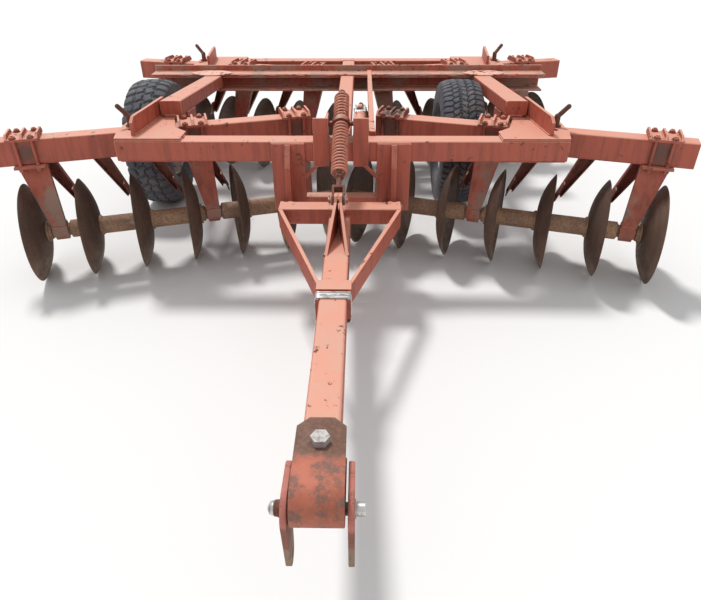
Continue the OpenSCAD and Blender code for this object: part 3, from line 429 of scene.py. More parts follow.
def worn_disc_steel(name, brown, orange, soil):
    """Disc steel: brown all over, with round scuffs, a paler soil film and orange rust blooms."""
    s = Shader(name, roughness=0.7)
    broad = s.patches(3.0, 5.0, 0.6, 0.4, 0.66)
    fine = s.noise(70.0, 6.0, 0.7)
    bloom = s.patches(11.0, 6.0, 0.75, 0.56, 0.72)
    scuff = s.step(s.noise(1.3, 6.0, 0.75, place=s.attribute("polar")), 0.42, 0.66)
    colour = s.mix(broad, brown, scaled(brown, 1.5))
    colour = s.over(colour, scaled(brown, 0.5), scuff, 0.45)
    colour = s.over(colour, orange, bloom, 0.7)
    low = s.step(s.height(), 0.02, 0.26, 0.75, 0.0)
    film = s.product(s.patches(8.0, 6.0, 0.7, 0.35, 0.7), low)
    colour = s.mix(film, colour, soil)
    s.bump(fine, 0.0009, 0.6)
    return s.finish(colour, roughness=s.step(fine, 0.3, 0.7, 0.55, 0.85), metallic=0.25)


def dusty_rubber(name, rubber, dust):
    """Tyre rubber with dust in its grooves and on its walls."""
    s = Shader(name, roughness=0.8)
    fine = s.noise(60.0, 6.0, 0.7)
    film = s.product(s.patches(9.0, 5.0, 0.7, 0.38, 0.75), 0.3)
    colour = s.mix(film, rubber, dust)
    s.bump(fine, 0.0006, 0.5)
    return s.finish(colour, roughness=s.step(fine, 0.3, 0.7, 0.68, 0.9))


def dull_steel(name, colour, dirt, roughness, metal=0.85):
    """Bare or plated steel with a thin film of dirt."""
    s = Shader(name, roughness=roughness, metallic=metal)
    film = s.patches(40.0, 6.0, 0.7, 0.45, 0.7)
    s.bump(s.noise(180.0, 4.0), 0.0004, 0.5)
    return s.finish(s.mix(film, colour, dirt), roughness=s.step(film, 0, 1, roughness, 0.8),
                    metallic=s.step(film, 0, 1, metal, 0.2))


def colour_prop(label, text, value):
    """A colour that a user can change, as linear values."""
    return bpy.props.FloatVectorProperty(name=label, description=text, subtype="COLOR", size=3,
                                         min=0.0, max=1.0, default=value)


def length_prop(label, text, value):
    """A length that a user can change, in metres."""
    return bpy.props.FloatProperty(name=label, description=text, default=value, unit="LENGTH")


def angle_prop(label, text, degrees):
    """An angle that a user can change."""
    return bpy.props.FloatProperty(name=label, description=text, default=math.radians(degrees),
                                   subtype="ANGLE")


def number_prop(label, text, value):
    """A plain number that a user can change."""
    kind = bpy.props.IntProperty if isinstance(value, int) else bpy.props.FloatProperty
    return kind(name=label, description=text, default=value)


class HarrowColours(bpy.types.PropertyGroup):
    """Base colours of the finishes, as linear values."""

    # The walls' colour holds painted shade and the tops' colour painted sunlight, partly also sun fading of the
    # paint.
    paint_shade: colour_prop("Paint, walls", "Red paint where it isn't bleached", (0.43, 0.096, 0.055))
    paint_sun: colour_prop("Paint, tops", "Red paint that the sun has bleached", (0.69, 0.295, 0.200))
    rust: colour_prop("Rust", "Bare rust in the paint", (0.15, 0.062, 0.038))
    edge: colour_prop("Worn edge", "Paint worn thin along edges", (0.66, 0.34, 0.26))
    disc_brown: colour_prop("Disc steel", "Weathered disc steel", (0.112, 0.066, 0.046))
    spool_orange: colour_prop("Spool rust", "Orange rust on spools and castings", (0.56, 0.33, 0.19))
    steel: colour_prop("Steel", "Bare or plated steel", (0.46, 0.44, 0.42))
    rubber: colour_prop("Rubber", "Tyre rubber", (0.078, 0.084, 0.102))
    dust: colour_prop("Dust", "Dry soil and dust", (0.40, 0.31, 0.23))
    floor: colour_prop("Floor", "Plain studio floor", (0.80, 0.79, 0.77))


class HarrowSizes(bpy.types.PropertyGroup):
    """Sizes of the pieces that are made here."""

    lug_depth: length_prop("Lug depth", "Depth of the tyres' tread", 0.011)
    block_lugs: number_prop("Lugs, left", "Lugs round the left tyre", 36)
    fine_lugs: number_prop("Lugs, right", "Lugs round the right tyre", 58)
    edge_width: length_prop("Edge width", "Width of the rounded edges", 0.0022)
    weld_width: length_prop("Weld width", "Width of the weld beads", 0.009)


class HarrowStage(bpy.types.PropertyGroup):
    """The camera's place and the light."""

    camera_x: length_prop("Camera X", "To the right of the middle", 0.098)
    camera_ahead: length_prop("Camera ahead", "Ahead of the part's origin", 2.893)
    camera_z: length_prop("Camera height", "Above the ground", 1.62)
    pitch: angle_prop("Pitch", "How far the camera looks down", 32.71)
    yaw: angle_prop("Yaw", "How far the camera turns to the left", 1.12)
    roll: angle_prop("Roll", "How far the camera leans", -0.275)
    lens: number_prop("Lens", "Focal length on a 36 mm wide sensor, in mm", 30.38)
    sky: number_prop("Sky", "Strength of the even light", 0.68)
    lamp: number_prop("Lamp", "Strength of the main lamp", 2.4)


# Nodes whose finish isn't their slot's own
OWN_FINISH = {
    "front_hangers": "hanger_paint",
    "rear_hangers": "hanger_paint",
    "front_gang_beams": "beam_paint",
    "front_clamps": "clamp_paint",
    "rear_cross": "dusty_paint",
    "hitch_strap": "strap_paint",
    "hitch_cheeks": "cheek_paint",
}


def beam_stains():
    """Dark patches on the fronts of the front beams, under the clamps, on both sides."""
    right = [on_beam(row, s, -51, 655) for row, s in clamp_places() if row == "front"]
    return right + [place * (-1, 1, 1) for place in right]


def make_finishes():
    """Every finish, under the name by which the pieces ask for it."""
    c = bpy.context.scene.harrow_colours
    shade, sun, rust, dust = tuple(c.paint_shade), tuple(c.paint_sun), tuple(c.rust), tuple(c.dust)
    brown, orange, edge = tuple(c.disc_brown), tuple(c.spool_orange), tuple(c.edge)
    # Painted sunlight on the spring: its walls take a colour between the paint's walls and its lit tops.
    spring_lit_walls = tuple(0.4 * a + 0.6 * b for a, b in zip(shade, sun))

    def red(name, **kind):
        return weathered_paint(name, shade, sun, rust, **kind)

    # Each weathered paint below is lighter on its tops and darker on its walls: painted sunlight and painted
    # shade, partly also sun fading.
    return {
        "red_paint": red("red paint"),
        "hanger_paint": red("hanger paint", soil=0.8),
        "dusty_paint": red("dusty paint", dust=(0.50, 0.36, 0.27), dusty=0.8, soil=0.75),
        # Dark patches low on the fronts of the front beams, below the clamps
        "beam_paint": red("beam paint", stains=beam_stains(), reach=0.085),
        # A near-black patch round the middle of the innermost right front clamp
        "clamp_paint": red("clamp paint", wear=0.8, stain=(0.02, 0.017, 0.015),
                           stains=[on_beam("front", 282, 0, 700)], reach=0.13, deep=0.97),
        "strap_paint": scraped_paint("scraped strap", (0.40, 0.115, 0.065), (0.17, 0.115, 0.095),
                                     (0.15, 0.075, 0.05), (-1.880, -1.845), at(0, -2752, 523)),
        "cheek_paint": banded_paint("cheek paint", ((0.0, (0.27, 0.18, 0.115)),
                                                    (0.33, (0.24, 0.085, 0.055)),
                                                    (0.415, (0.50, 0.17, 0.13)))),
        "worn_edge": weathered_paint("worn paint edge", edge, scaled(edge, 1.25), rust, wear=0.9),
        "dark_paint": weathered_paint("dull paint", scaled(shade, 0.55), scaled(sun, 0.6), rust, wear=1.1),
        "spring_paint": weathered_paint("spring paint", spring_lit_walls, sun, rust, wear=0.4),
        "rusty_steel": rusted_steel("rusted plate", (0.13, 0.055, 0.035), (0.27, 0.10, 0.06),
                                    (0.20, 0.15, 0.12)),
        "rusty_iron": rusted_steel("rusted casting", (0.33, 0.19, 0.125), orange, (0.50, 0.42, 0.36)),
        "disc_steel": worn_disc_steel("disc steel", brown, (0.20, 0.085, 0.045), dust),
        "tyre_rubber": dusty_rubber("tyre rubber", tuple(c.rubber), dust),
        "rim_paint": weathered_paint("rim paint", (0.42, 0.40, 0.37), (0.5, 0.47, 0.43), rust, wear=0.8),
        "bright_steel": dull_steel("ground rod", (0.66, 0.65, 0.63), (0.30, 0.26, 0.22), 0.3),
        "wire": dull_steel("zinc wire", (0.55, 0.56, 0.56), (0.30, 0.27, 0.24), 0.4),
        "bolt_steel": dull_steel("dull bolt", tuple(c.steel), (0.22, 0.16, 0.12), 0.62, 0.45),
    }


def finish_of(name):
    """A finish by its name; all of them are made at the first call."""
    if not hasattr(finish_of, "made"):
        finish_of.made = make_finishes()
    return finish_of.made[name]


class HARROW_OT_cad_finish(bpy.types.Operator):
    """Gives every CAD piece its finish, with rounded and worn edges"""

    bl_idname = "harrow.cad_finish"
    bl_label = "Finish the CAD pieces"

    def execute(self, context):
        slots = {row["node"]: row["material_slot"] for row in frame["record"]["subparts"]}
        width = context.scene.harrow_sizes.edge_width
        for name, obj in frame["nodes"].items():
            obj.data.materials.clear()
            obj.data.materials.append(finish_of(OWN_FINISH.get(name, slots[name])))
            painted = slots[name] in ("red_paint", "dark_paint")
            if painted:
                obj.data.materials.append(finish_of("worn_edge"))
            weld = obj.modifiers.new("join", "WELD")
            weld.merge_threshold = 2e-5
            flat = obj.modifiers.new("flat faces", "DECIMATE")
            flat.decimate_type = "DISSOLVE"
            flat.angle_limit = math.radians(0.4)
            bevel = obj.modifiers.new("edges", "BEVEL")
            bevel.width = width
            bevel.segments = 2
            bevel.limit_method = "ANGLE"
            bevel.angle_limit = math.radians(40)
            bevel.material = 1 if painted else -1
        return {"FINISHED"}


GANGS = {
    # body: (number of discs, side on which the discs are hollow: 1 outwards, -1 inwards, pitch)
    "gang_front_left": (7, 1, 0.262),
    "gang_front_right": (7, 1, 0.262),
    "gang_rear_left": (6, -1, 0.270),
    "gang_rear_right": (6, -1, 0.270),
}
DISC_RADIUS = 0.254
DISC_FLAT = 0.056
DISC_DISH = 0.065
DISC_THICK = 0.005


def dish_profile():
    """A disc's section as (radius, height): flat to the hub, then an arc, with a ground rim.

    The arc's height at radius r is R - sqrt(R^2 - (r - flat)^2), where R follows from the depth.
    """
    run = DISC_RADIUS - DISC_FLAT
    big = (run ** 2 + DISC_DISH ** 2) / (2 * DISC_DISH)
    half = DISC_THICK / 2
    r = np.concatenate([[0.020, 0.040], np.linspace(DISC_FLAT, DISC_RADIUS - 0.0012, 20)])
    z = np.where(r > DISC_FLAT, big - np.sqrt(big ** 2 - (r - DISC_FLAT) ** 2), 0.0)
    back = np.stack([r, z - half], 1)
    front = np.stack([r[:-1], z[:-1] + half], 1)[::-1]
    rim = np.array([[DISC_RADIUS, z[-1] - half + 0.0010], [DISC_RADIUS - 0.0070, z[-1] + 0.0020]])
    loop = np.concatenate([back, rim, front])
    return np.concatenate([loop, loop[:1]])


class HARROW_OT_discs(bpy.types.Operator):
    """Makes the dished discs of the four gangs, with worn rims"""

    bl_idname = "harrow.discs"
    bl_label = "Discs"

    def execute(self, context):
        profile = dish_profile()
        steps = 96
        turn = np.linspace(0, 2 * np.pi, steps, endpoint=False)[:, None]
        outermost = np.clip((profile[:, 0] / DISC_RADIUS - 0.9) / 0.1, 0, 1)
        rng = np.random.default_rng(3)
        for gang, (count, cup, pitch) in GANGS.items():
            joint = f"{gang}_turn"
            axis = direction(joint)
            shells, polar = [], []
            for k in range(count):
                centre = pivot(joint) + axis * pitch * (k - (count - 1) / 2)
                points, quads = revolved(profile, steps, centre, axis * cup)
                wear = sum(rng.uniform(-1, 1) * np.sin(n * turn + rng.uniform(0, 6.3)) / n
                           for n in (2, 3, 5, 9, 17))
                shrink = 1 - 0.006 * (0.6 + 0.4 * wear).clip(0, 1) * outermost
                offset = points.reshape(steps, len(profile), 3) - centre
                along = (offset @ axis)[..., None] * axis
                points = centre + along + (offset - along) * shrink[..., None]
                shells.append((points.reshape(-1, 3), quads))
                place = np.broadcast_arrays(profile[:, 0] * 40 + 7 * k, np.cos(turn), np.sin(turn))
                polar.append(np.stack(place, -1).reshape(-1, 3))
            obj = piece(f"{gang}_discs", shells, gang, "disc_steel", smooth=30, polar=np.concatenate(polar))
            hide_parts("discs_" + gang[5:])
        return {"FINISHED"}


# Radii of the spring's wire and of its coils, and places along its rod from the rod's eye: its
# front end, the half length of the collar between its two parts, and its rear end past the collar
SPRING_WIRE = 0.005
SPRING_RADIUS = 0.033
SPRING_START = 0.160
SPRING_SEAT = 0.0153
SPRING_END = 0.210


class HARROW_OT_spring(bpy.types.Operator):
    """Winds the levelling spring in two lengths, with closed ends"""

    bl_idname = "harrow.spring"
    bl_label = "Levelling spring"

    def coil(self, start, stop, turns):
        """A coil's path: a circle carried along the axis, its pitch falling off in the end turns.

        At turn a the point is (y(a), r cos a, r sin a), where y is the eased share of the length.
        """
        wire = SPRING_WIRE
        t = np.linspace(0, 1, int(turns * 30))
        closed = 0.9 / turns
        pace = 0.35 + 0.65 * np.clip(np.minimum(t, 1 - t) / closed, 0, 1)
        share = np.concatenate([[0], np.cumsum((pace[1:] + pace[:-1]) / 2)])
        share /= share[-1]
        a = 2 * np.pi * turns * t
        y = start + wire + (stop - start - 2 * wire) * share
        return np.stack([y, SPRING_RADIUS * np.cos(a), SPRING_RADIUS * np.sin(a)], 1)

    def execute(self, context):
        origin = pivot("spring_rod_turn")
        trunnion = pivot("spring_collar_turn")
        reach = np.linalg.norm(trunnion - origin)
        shells = []
        for start, stop, turns in ((SPRING_START, reach - SPRING_SEAT, 16),
                                   (reach + SPRING_SEAT, reach + SPRING_END, 9)):
            path = placed(self.coil(start, stop, turns), origin, trunnion - origin)
            shells.append(swept(path, SPRING_WIRE, 12))
        obj = piece("levelling_coils", shells, "spring_collar", "spring_paint", smooth=60)
        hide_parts("levelling_spring")
        return {"FINISHED"}


def bead(path, width, seed=0):
    """A weld bead: a flat oval carried along a path, its size rippled along it.

    The ring at length s has the radius w (1 + 0.16 sin(2 pi s / step) + 0.14 drift(s)), where
    drift is a line through nine random values.
    """
    path = np.asarray(path, float)
    length = np.concatenate([[0], np.cumsum(np.linalg.norm(np.diff(path, axis=0), axis=1))])
    count = max(6, int(length[-1] / 0.0022))
    s = np.linspace(0, length[-1], count)
    even = np.stack([np.interp(s, length, path[:, i]) for i in range(3)], 1)
    rng = np.random.default_rng(seed)
    drift = np.interp(s, np.linspace(0, length[-1] + 1e-9, 9), rng.uniform(-1, 1, 9))
    radius = width / 2 * (1 + 0.16 * np.sin(2 * np.pi * s / 0.0066) + 0.14 * drift)
    radius[[0, -1]] *= 0.5
    return swept(even, radius, 8)


def ring(centre, axis, radius):
    """A circle about an axis, closed on its first point."""
    a = np.linspace(0, 2 * np.pi, 48)
    flat = np.stack([np.zeros_like(a), radius * np.cos(a), radius * np.sin(a)], 1)
    return placed(flat, centre, axis)


def tyre_section(phi, half_width, bead, outer):
    """A tyre's cross-section at angle phi: a squared oval from the bead over the tread.

    Across is w sign(sin) |sin|^0.62 and radius is middle + h sign(cos) |cos|^0.55.
    """
    middle, rise = (bead + outer) / 2, (outer - bead) / 2
    across = half_width * np.sign(np.sin(phi)) * np.abs(np.sin(phi)) ** 0.62
    radius = middle + rise * np.sign(np.cos(phi)) * np.abs(np.cos(phi)) ** 0.55
    return across, radius


def groove(distance, width):
    """1 on the rubber and 0 in a groove: a smooth step of the distance from the groove's line."""
    soft = 0.35
    t = np.clip((np.abs(distance) / (width / 2) - 1 + soft) / (2 * soft), 0, 1)
    return t * t * (3 - 2 * t)


def wave(turns):
    """A triangle wave from -1 to 1 with a period of one."""
    return 4 * np.abs(turns - np.floor(turns + 0.5)) - 1


# Radius at which the tread's cross grooves are measured, and radius of the tyres' beads
TREAD_RADIUS = 0.38
BEAD_RADIUS = 0.207


def cross_groove(phase, lugs, width):
    """Grooves over the tread where phase is a whole number, one for each lug round the tyre."""
    return groove((phase - np.round(phase)) / lugs * 2 * np.pi * TREAD_RADIUS, width)


def block_tread(turn, across, half_width, lugs):
    """Blocks of a coarse tread: two staggered middle rows and long shoulder lugs.

    The grooves are lines across = a + b wave(lugs turn) round the tyre, and lines lugs turn =
    whole number + slope times across over it.
    """
    x = across / half_width
    count = turn * lugs
    mask = groove(across - 0.006 * wave(count), 0.011)
    for side in (-1, 1):
        mask = mask * groove(across - side * (0.056 + 0.007 * wave(count + 0.25 * side)), 0.013)
        middle_row = (x * side > 0) & (np.abs(x) < 0.46)
        cut = cross_groove(count + 0.25 * side + 0.9 * x, lugs, 0.013)
        mask = np.where(middle_row, mask * cut, mask)
        cut = cross_groove(count + 0.25 - 0.25 * side + 0.25 * x, lugs, 0.020)
        mask = np.where(x * side >= 0.46, mask * cut, mask)
    return mask


# Rows of the fine tread: from and to as shares of the half width, slope, shift and groove's width
FINE_ROWS = (
    (-2, -0.53, -0.25, 0.0, 0.009),
    (-0.53, -0.17, 1.7, 0.3, 0.007),
    (-0.17, 0.17, -2.2, 0.1, 0.006),
    (0.17, 0.53, 1.7, 0.6, 0.007),
    (0.53, 2, -0.25, 0.5, 0.009),
)


def fine_tread(turn, across, half_width, lugs):
    """Blocks of a fine tread: five rows between four zigzag grooves, cut by slanted grooves."""
    x = across / half_width
    count = turn * lugs
    mask = np.ones_like(x * turn)
    for side in (-1, 1):
        mask = mask * groove(across - side * (0.022 + 0.005 * wave(count + 0.2 * side)), 0.008)
        mask = mask * groove(across - side * (0.066 + 0.005 * wave(count + 0.4 * side)), 0.009)
    for low, high, slope, shift, width in FINE_ROWS:
        cut = cross_groove(count + shift + slope * x, lugs, width)
        mask = np.where((x >= low) & (x < high), mask * cut, mask)
    return mask


def tyre_shell(centre, outer, half_width, bead, lugs, tread, depth):
    """A tyre's skin: its section turned round the axle, pushed out by the tread's lugs.

    The point at turn u and section angle phi is (across, R cos u, R sin u), where R is the
    section's radius less the tread's depth, plus depth times the lug mask, faded out down the wall.
    """
    end = 0.965 * np.pi
    phi = np.linspace(-end, end, 181)
    dense = np.sign(phi) * end * (np.abs(phi) / end) ** 0.9
    across, radius = tyre_section(dense, half_width, bead, outer - depth)
    length = np.concatenate([[0], np.cumsum(np.hypot(np.diff(across), np.diff(radius)))])
    even = np.interp(np.linspace(0, length[-1], 124), length, dense)
    across, radius = tyre_section(even, half_width, bead, outer - depth)
    turn = np.linspace(0, 1, 640, endpoint=False)[:, None]
    reach = np.clip((radius - (outer - depth - 0.045)) / 0.02, 0, 1)
    reach = reach * reach * (3 - 2 * reach)
    lift = depth * tread(turn, across[None, :], half_width, lugs) * reach
    rib = 0.0012 * np.exp(-((radius - (bead + 0.045)) / 0.004) ** 2)
    r = radius + lift
    wall = np.abs(across) > 0.8 * half_width
    x = across + np.where(wall, np.sign(across) * (0.35 * lift + rib), 0.0)
    a = 2 * np.pi * turn
    points = np.stack([x, r * np.cos(a), r * np.sin(a)], -1)
    return grid(points + centre, close_rows=True, close_cols=True)


class HARROW_OT_tyres(bpy.types.Operator):
    """Makes the two tyres, a coarse tread on the left and a fine one on the right"""

    bl_idname = "harrow.tyres"
    bl_label = "Tyres"

    def execute(self, context):
        sizes = context.scene.harrow_sizes
        for side, lugs, tread in (("left", sizes.block_lugs, block_tread),
                                  ("right", sizes.fine_lugs, fine_tread)):
            node = f"{side}_tyre"
            low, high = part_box(node)
            outer = (high.y - low.y) / 2
            half_width = (high.x - low.x) / 2 - 0.004
            shell = tyre_shell(pivot(f"{side}_wheel_turn"), outer, half_width, BEAD_RADIUS, lugs, tread,
                               sizes.lug_depth)
            obj = piece(f"{side}_tread", [shell], f"{side}_wheel", "tyre_rubber", smooth=50)
            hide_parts(node)
        return {"FINISHED"}


BEAMS = {
    # row: (meeting point of its two beams in mm, angle in degrees, 1 if they lean back, -1 if ahead)
    "front": (-484.0, 17.0, -1),
    "rear": (600.0, 13.5, 1),
}
BEARINGS = {
    # row: (side to which the hangers lean: 1 outwards, each bearing's distance and lean in mm)
    "front": (1, ((262, 20), (786, 40), (1572, 70))),
    "rear": (-1, ((285, 30), (825, 30), (1365, 30))),
}


def on_beam(row, s, y, z):
    """A point in metres from millimetres in the right gang beam's frame: s outwards, y behind it."""
    middle, angle, lean = BEAMS[row]
    c, n = math.cos(math.radians(angle)), math.sin(math.radians(angle))
    return at(s * c - lean * y * n, middle + lean * s * n + y * c, z)


def clamp_places():
    """Each row's name and the distances of its clamps' middles along the right beam, in mm."""
    return [(row, s + side * lean) for row, (side, bearings) in BEARINGS.items() for s, lean in bearings]


# Weld runs on the right half in mm, each repeated on the left
FRAME_RUNS = (
    # Legs, fins and their tie
    ((177, -1027, 622), (177, -1027, 714), (339, -1027, 714), (339, -1027, 622)),
    ((245, -1039, 374), (245, -1039, 706)),
    ((271, -1039, 374), (271, -1039, 706)),
    ((177, -1037, 410), (177, -1037, 440), (177, -1028, 440)),
    ((177, -1038, 532), (177, -1038, 552)),
    # Uprights on the front tube
    ((60, -1027, 622), (60, -1027, 714)),
    ((133, -1027, 622), (133, -1027, 716)),
    ((73, -1025, 722), (73, -938, 722)),
    # Corner plates on the tubes and the upstands on the plates
    ((780, -930, 723), (780, -1020, 723), (1101, -1020, 723)),
    ((780, 930, 723), (780, 1020, 723), (1101, 1020, 723)),
    ((1014, -974, 735), (974, -580, 735)),
    ((1030, -974, 735), (990, -580, 735)),
    ((1014, 974, 735), (974, 580, 735)),
    ((1030, 974, 735), (990, 580, 735)),
    # Rails on their wedges and on the rear section
    ((877, -656, 744), (953, -656, 744)),
    ((877, -656, 735), (953, -656, 735)),
    ((862, 404, 727), (968, 404, 727)),
    # Centre beam between the tubes, and the rear section on it
    ((45, -925, 722), (45, -925, 634)),
    ((45, 925, 722), (45, 925, 634)),
    ((45, 404, 722), (45, 404, 634)),
)
# Weld runs that cross the middle or lie on one side
MIDDLE_RUNS = (
    ((-44, -925, 722), (44, -925, 722)),
    ((-44, 925, 722), (44, 925, 722)),
    ((138, -925, 668), (138, -925, 739), (166, -925, 739), (166, -925, 668)),
    ((57, -925, 654), (57, -925, 707)),
    ((126, -925, 654), (126, -925, 707)),
)
DRAWBAR_RUNS = (
    ((229, -1209, 418), (229, -1209, 487), (246, -1209, 487), (246, -1209, 418)),
    ((271, -1209, 418), (271, -1209, 487), (286, -1209, 487)),
    ((268, -1301, 408), (268, -1301, 490), (284, -1301, 491)),
    ((51, -1301, 415), (51, -1301, 454)),
    ((18, -1302, 488), (18, -1302, 456), (18, -1475, 461), (50, -1714, 469)),
    ((5, -1302, 456), (5, -1420, 459)),
)


class HARROW_OT_welds(bpy.types.Operator):
    """Lays the weld beads of the frame, the hangers, the drawbar and the rockshaft"""

    bl_idname = "harrow.welds"
    bl_label = "Welds"

    def runs(self, rows, width):
        """Beads along runs of points in mm."""
        return [bead([at(*p) for p in row], width, seed) for seed, row in enumerate(rows)]

    def stitches(self, width):
        """Short beads in a row that hold the angle on the rear section, in front of it and behind."""
        rows = [((x, y, 722), (x + 55, y, 722)) for x in range(90, 1290, 200) for y in (404, 528)]
        return self.runs(rows, width)

    def hanger_beads(self, width):
        """Beads where each hanger's face meets its plate above and its toe below."""
        shells = []
        for row, (side, bearings) in BEARINGS.items():
            for s, lean in bearings:
                top = s + side * lean
                for low, high, y, z in ((top - 70, top + 70, -32, 582), (s - 34, s + 34, -141, 294)):
                    shells.append(bead([on_beam(row, low, y, z), on_beam(row, high, y, z)], width, int(s)))
        return both_sides(shells)

    def saddle_beads(self, width):
        """Beads on both sides of each clamp's three ribs."""
        places = [(row, s + x) for row, s in clamp_places() for x in (-64.5, -5.5, 5.5, 64.5)]
        return both_sides([bead([on_beam(row, s, -74, 734), on_beam(row, s, 74, 734)], width, int(s))
                           for row, s in places])

    def shaft_beads(self, width):
        """Rings round the rockshaft at its arms and its lever, and round the spindles at the arms."""
        shaft, spindle = pivot("rockshaft_turn"), at(0, 0, 390)
        rings = [(shaft, x, 39) for x in (-990, -944, 944, 990, 79, 104)]
        rings += [(spindle, x, 26) for x in (-990, 944)]
        return [bead(ring(centre + (x * MM, 0, 0), (1, 0, 0), radius * MM), width, x + 999)
                for centre, x, radius in rings]

    def execute(self, context):
        width = context.scene.harrow_sizes.weld_width
        on_frame = both_sides(self.runs(FRAME_RUNS, width)) + self.runs(MIDDLE_RUNS, width)
        on_drawbar = both_sides(self.runs(DRAWBAR_RUNS, width))
        on_drawbar += self.runs([((-49, -1302, 455), (49, -1302, 455))], width)
        for name, body, shells in (
            ("frame_welds", "root", on_frame + both_sides(self.stitches(0.8 * width))),
            ("hanger_welds", "root", self.hanger_beads(0.9 * width)),
            ("clamp_welds", "root", self.saddle_beads(0.7 * width)),
            ("drawbar_welds", "drawbar", on_drawbar),
            ("rockshaft_welds", "rockshaft", self.shaft_beads(width)),
        ):
            piece(name, shells, body, "red_paint", smooth=60)
        return {"FINISHED"}


def washer(centre, axis, outer, inner, thick):
    """A flat ring about an axis, its section a loop with small chamfers."""
    c = min(0.0006, thick / 4)
    rim = [(outer - c, 0), (outer, c), (outer, thick - c), (outer - c, thick)]
    return revolved([(inner, 0), *rim, (inner, thick), (inner, 0)], 32, centre, axis)


def split_pin(centre, length):
    """An upright split pin through a bigger pin: an eye on top, two legs and their ends bent apart.

    The path is an arc of the eye, a straight leg each way and a quarter bend, in the plane of y and z.
    """
    wire = 0.002
    eye = 2.6 * wire
    a = np.linspace(-0.42 * np.pi, 1.42 * np.pi, 22)
    arc = np.stack([length / 2 + eye * (1 + np.sin(a)), eye * np.cos(a)], 1)
    foot = np.array([[0, 0.5], [-1, 2], [-1.2, 6]]) * wire - (length / 2, 0)
    legs = np.concatenate([foot[::-1], arc, foot * (1, -1)])
    return swept(centre + legs[:, :1] * (0, 0, 1) + legs[:, 1:] * (0, 1, 0), wire, 8)


# Outlines of the small parts in metres, as (radius, distance along the axis)
STUD_END = [(0, 0.013), (0.006, 0.013), (0.006, 0.019), (0.005, 0.020), (0, 0.020)]
VALVE = [(0, 0), (0.006, 0), (0.0055, 0.018), (0.004, 0.020), (0.004, 0.030), (0, 0.031)]
PIN_COLLAR = [(0, 0.0920), (0.0160, 0.0920), (0.0175, 0.0935), (0.0175, 0.1125), (0.0160, 0.1140),
              (0, 0.1140)]
PIN_SLEEVE = [(0.0163, 0.0884), (0.0205, 0.0884), (0.0210, 0.0900), (0.0195, 0.1060),
              (0.0163, 0.1060), (0.0163, 0.0884)]


class HARROW_OT_fasteners(bpy.types.Operator):
    """Puts on the washers, split pins, wheel nuts and valves"""

    bl_idname = "harrow.fasteners"
    bl_label = "Fasteners"

    def pin_ends(self, name, body, centre, radius, face, end):
        """Washers at the faces and split pins near the ends of a cross pin, on both sides in x."""
        shells = []
        for side in (-1, 1):
            shells.append(washer(centre + (side * face, 0, 0), (side, 0, 0), 1.65 * radius,
                                 radius + 0.0002, 0.0028))
            if end - face > 0.008:
                place = centre + (side * (face + end) / 2 + side * 0.001, 0, 0)
                shells.append(split_pin(place, 2 * radius + 0.006))
        piece(name, shells, body, "bolt_steel")

    def wheel(self, side):
        """Wheel nuts on their studs round the hub, and the valve."""
        centre = pivot(f"{side}_wheel_turn")
        shells = []
        for a in np.radians(np.arange(22.5, 360, 45)):
            place = centre + (0.0055, 0.1 * math.cos(a), 0.1 * math.sin(a))
            shells.append(prism(hexagon(0.0105), 0.013, place, (-1, 0, 0), chamfer=0.0015))
            shells.append(revolved(STUD_END, 16, place, (-1, 0, 0)))
        shells.append(revolved(VALVE, 16, centre + (-0.052, 0, 0.183), (-0.9, 0, -0.45)))
        piece(f"{side}_wheel_nuts", shells, f"{side}_wheel", "bolt_steel")

    def execute(self, context):
        hinge = pivot("drawbar_turn")
        for name, body, centre, radius, face, end in (
            ("mast_pin_ends", "drawbar", pivot("spring_rod_turn"), 0.012, 0.0288, 0.043),
            ("left_hinge_pin_ends", "drawbar", hinge - (0.2585, 0, 0), 0.015, 0.0295, 0.050),
            ("right_hinge_pin_ends", "drawbar", hinge + (0.2585, 0, 0), 0.015, 0.0295, 0.050),
            ("anchor_pin_ends", "root", pivot("lift_cylinder_swing"), 0.0125, 0.0343, 0.040),
            ("trunnion_ends", "spring_collar", pivot("spring_collar_turn"), 0.012, 0.0724, 0.076),
        ):
            self.pin_ends(name, body, centre, radius, face, end)
        nuts = []
        for side in ("left", "right"):
            self.wheel(side)
            place = pivot(f"{side}_wheel_turn") - (0.076, 0, 0)
            nuts.append(prism(hexagon(0.026), 0.016, place, (-1, 0, 0), chamfer=0.002))
            nuts.append(split_pin(place - (0.010, 0, 0), 0.056))
        piece("spindle_nuts", nuts, "rockshaft", "red_paint", "bolt_steel")
        shells = [washer(on_beam(row, s + x, y, 734), (0, 0, 1), 0.0175, 0.0125, 0.0025)
                  for row, s in clamp_places() for x in (-40, 40) for y in (-61.8, 61.8)]
        piece("clamp_washers", both_sides(shells), "root", "red_paint", "rusty_steel")
        return {"FINISHED"}


class HARROW_OT_hitch(bpy.types.Operator):
    """Puts the collar, the sleeve with its tail and the button on the hitch pin"""

    bl_idname = "harrow.hitch"
    bl_label = "Hitch parts"

    def execute(self, context):
        pin = pivot("hitch_cheeks_swing")
        left, right = (-1, 0, 0), (1, 0, 0)
        flange = washer(pin + (0.0884, 0, 0), right, 0.0225, 0.0163, 0.0036)
        collar = revolved(PIN_COLLAR, 40, pin, right)
        piece("pin_collar", [flange, collar], "drawbar", "bolt_steel", "bright_steel")
        t = np.linspace(0, 1, 18)[:, None]
        tail = pin + (-0.099, 0.004, -0.016) + t * (-0.010, 0, -0.034) + t ** 2 * (0.016, 0.010, 0)
        piece("pin_sleeve", [revolved(PIN_SLEEVE, 40, pin, left), swept(tail, 0.0055, 12)], "drawbar",
              "rusty_steel")
        turn = np.linspace(0, np.pi / 2, 12)
        dome = np.stack([0.0180 * np.cos(turn), 0.1085 + 0.0150 * np.sin(turn)], 1)
        button = np.concatenate([[[0.0, 0.1065], [0.0165, 0.1065]], dome])
        piece("pin_button", [revolved(button, 40, pin, left)], "drawbar", "bolt_steel", "bright_steel", 50)
        return {"FINISHED"}


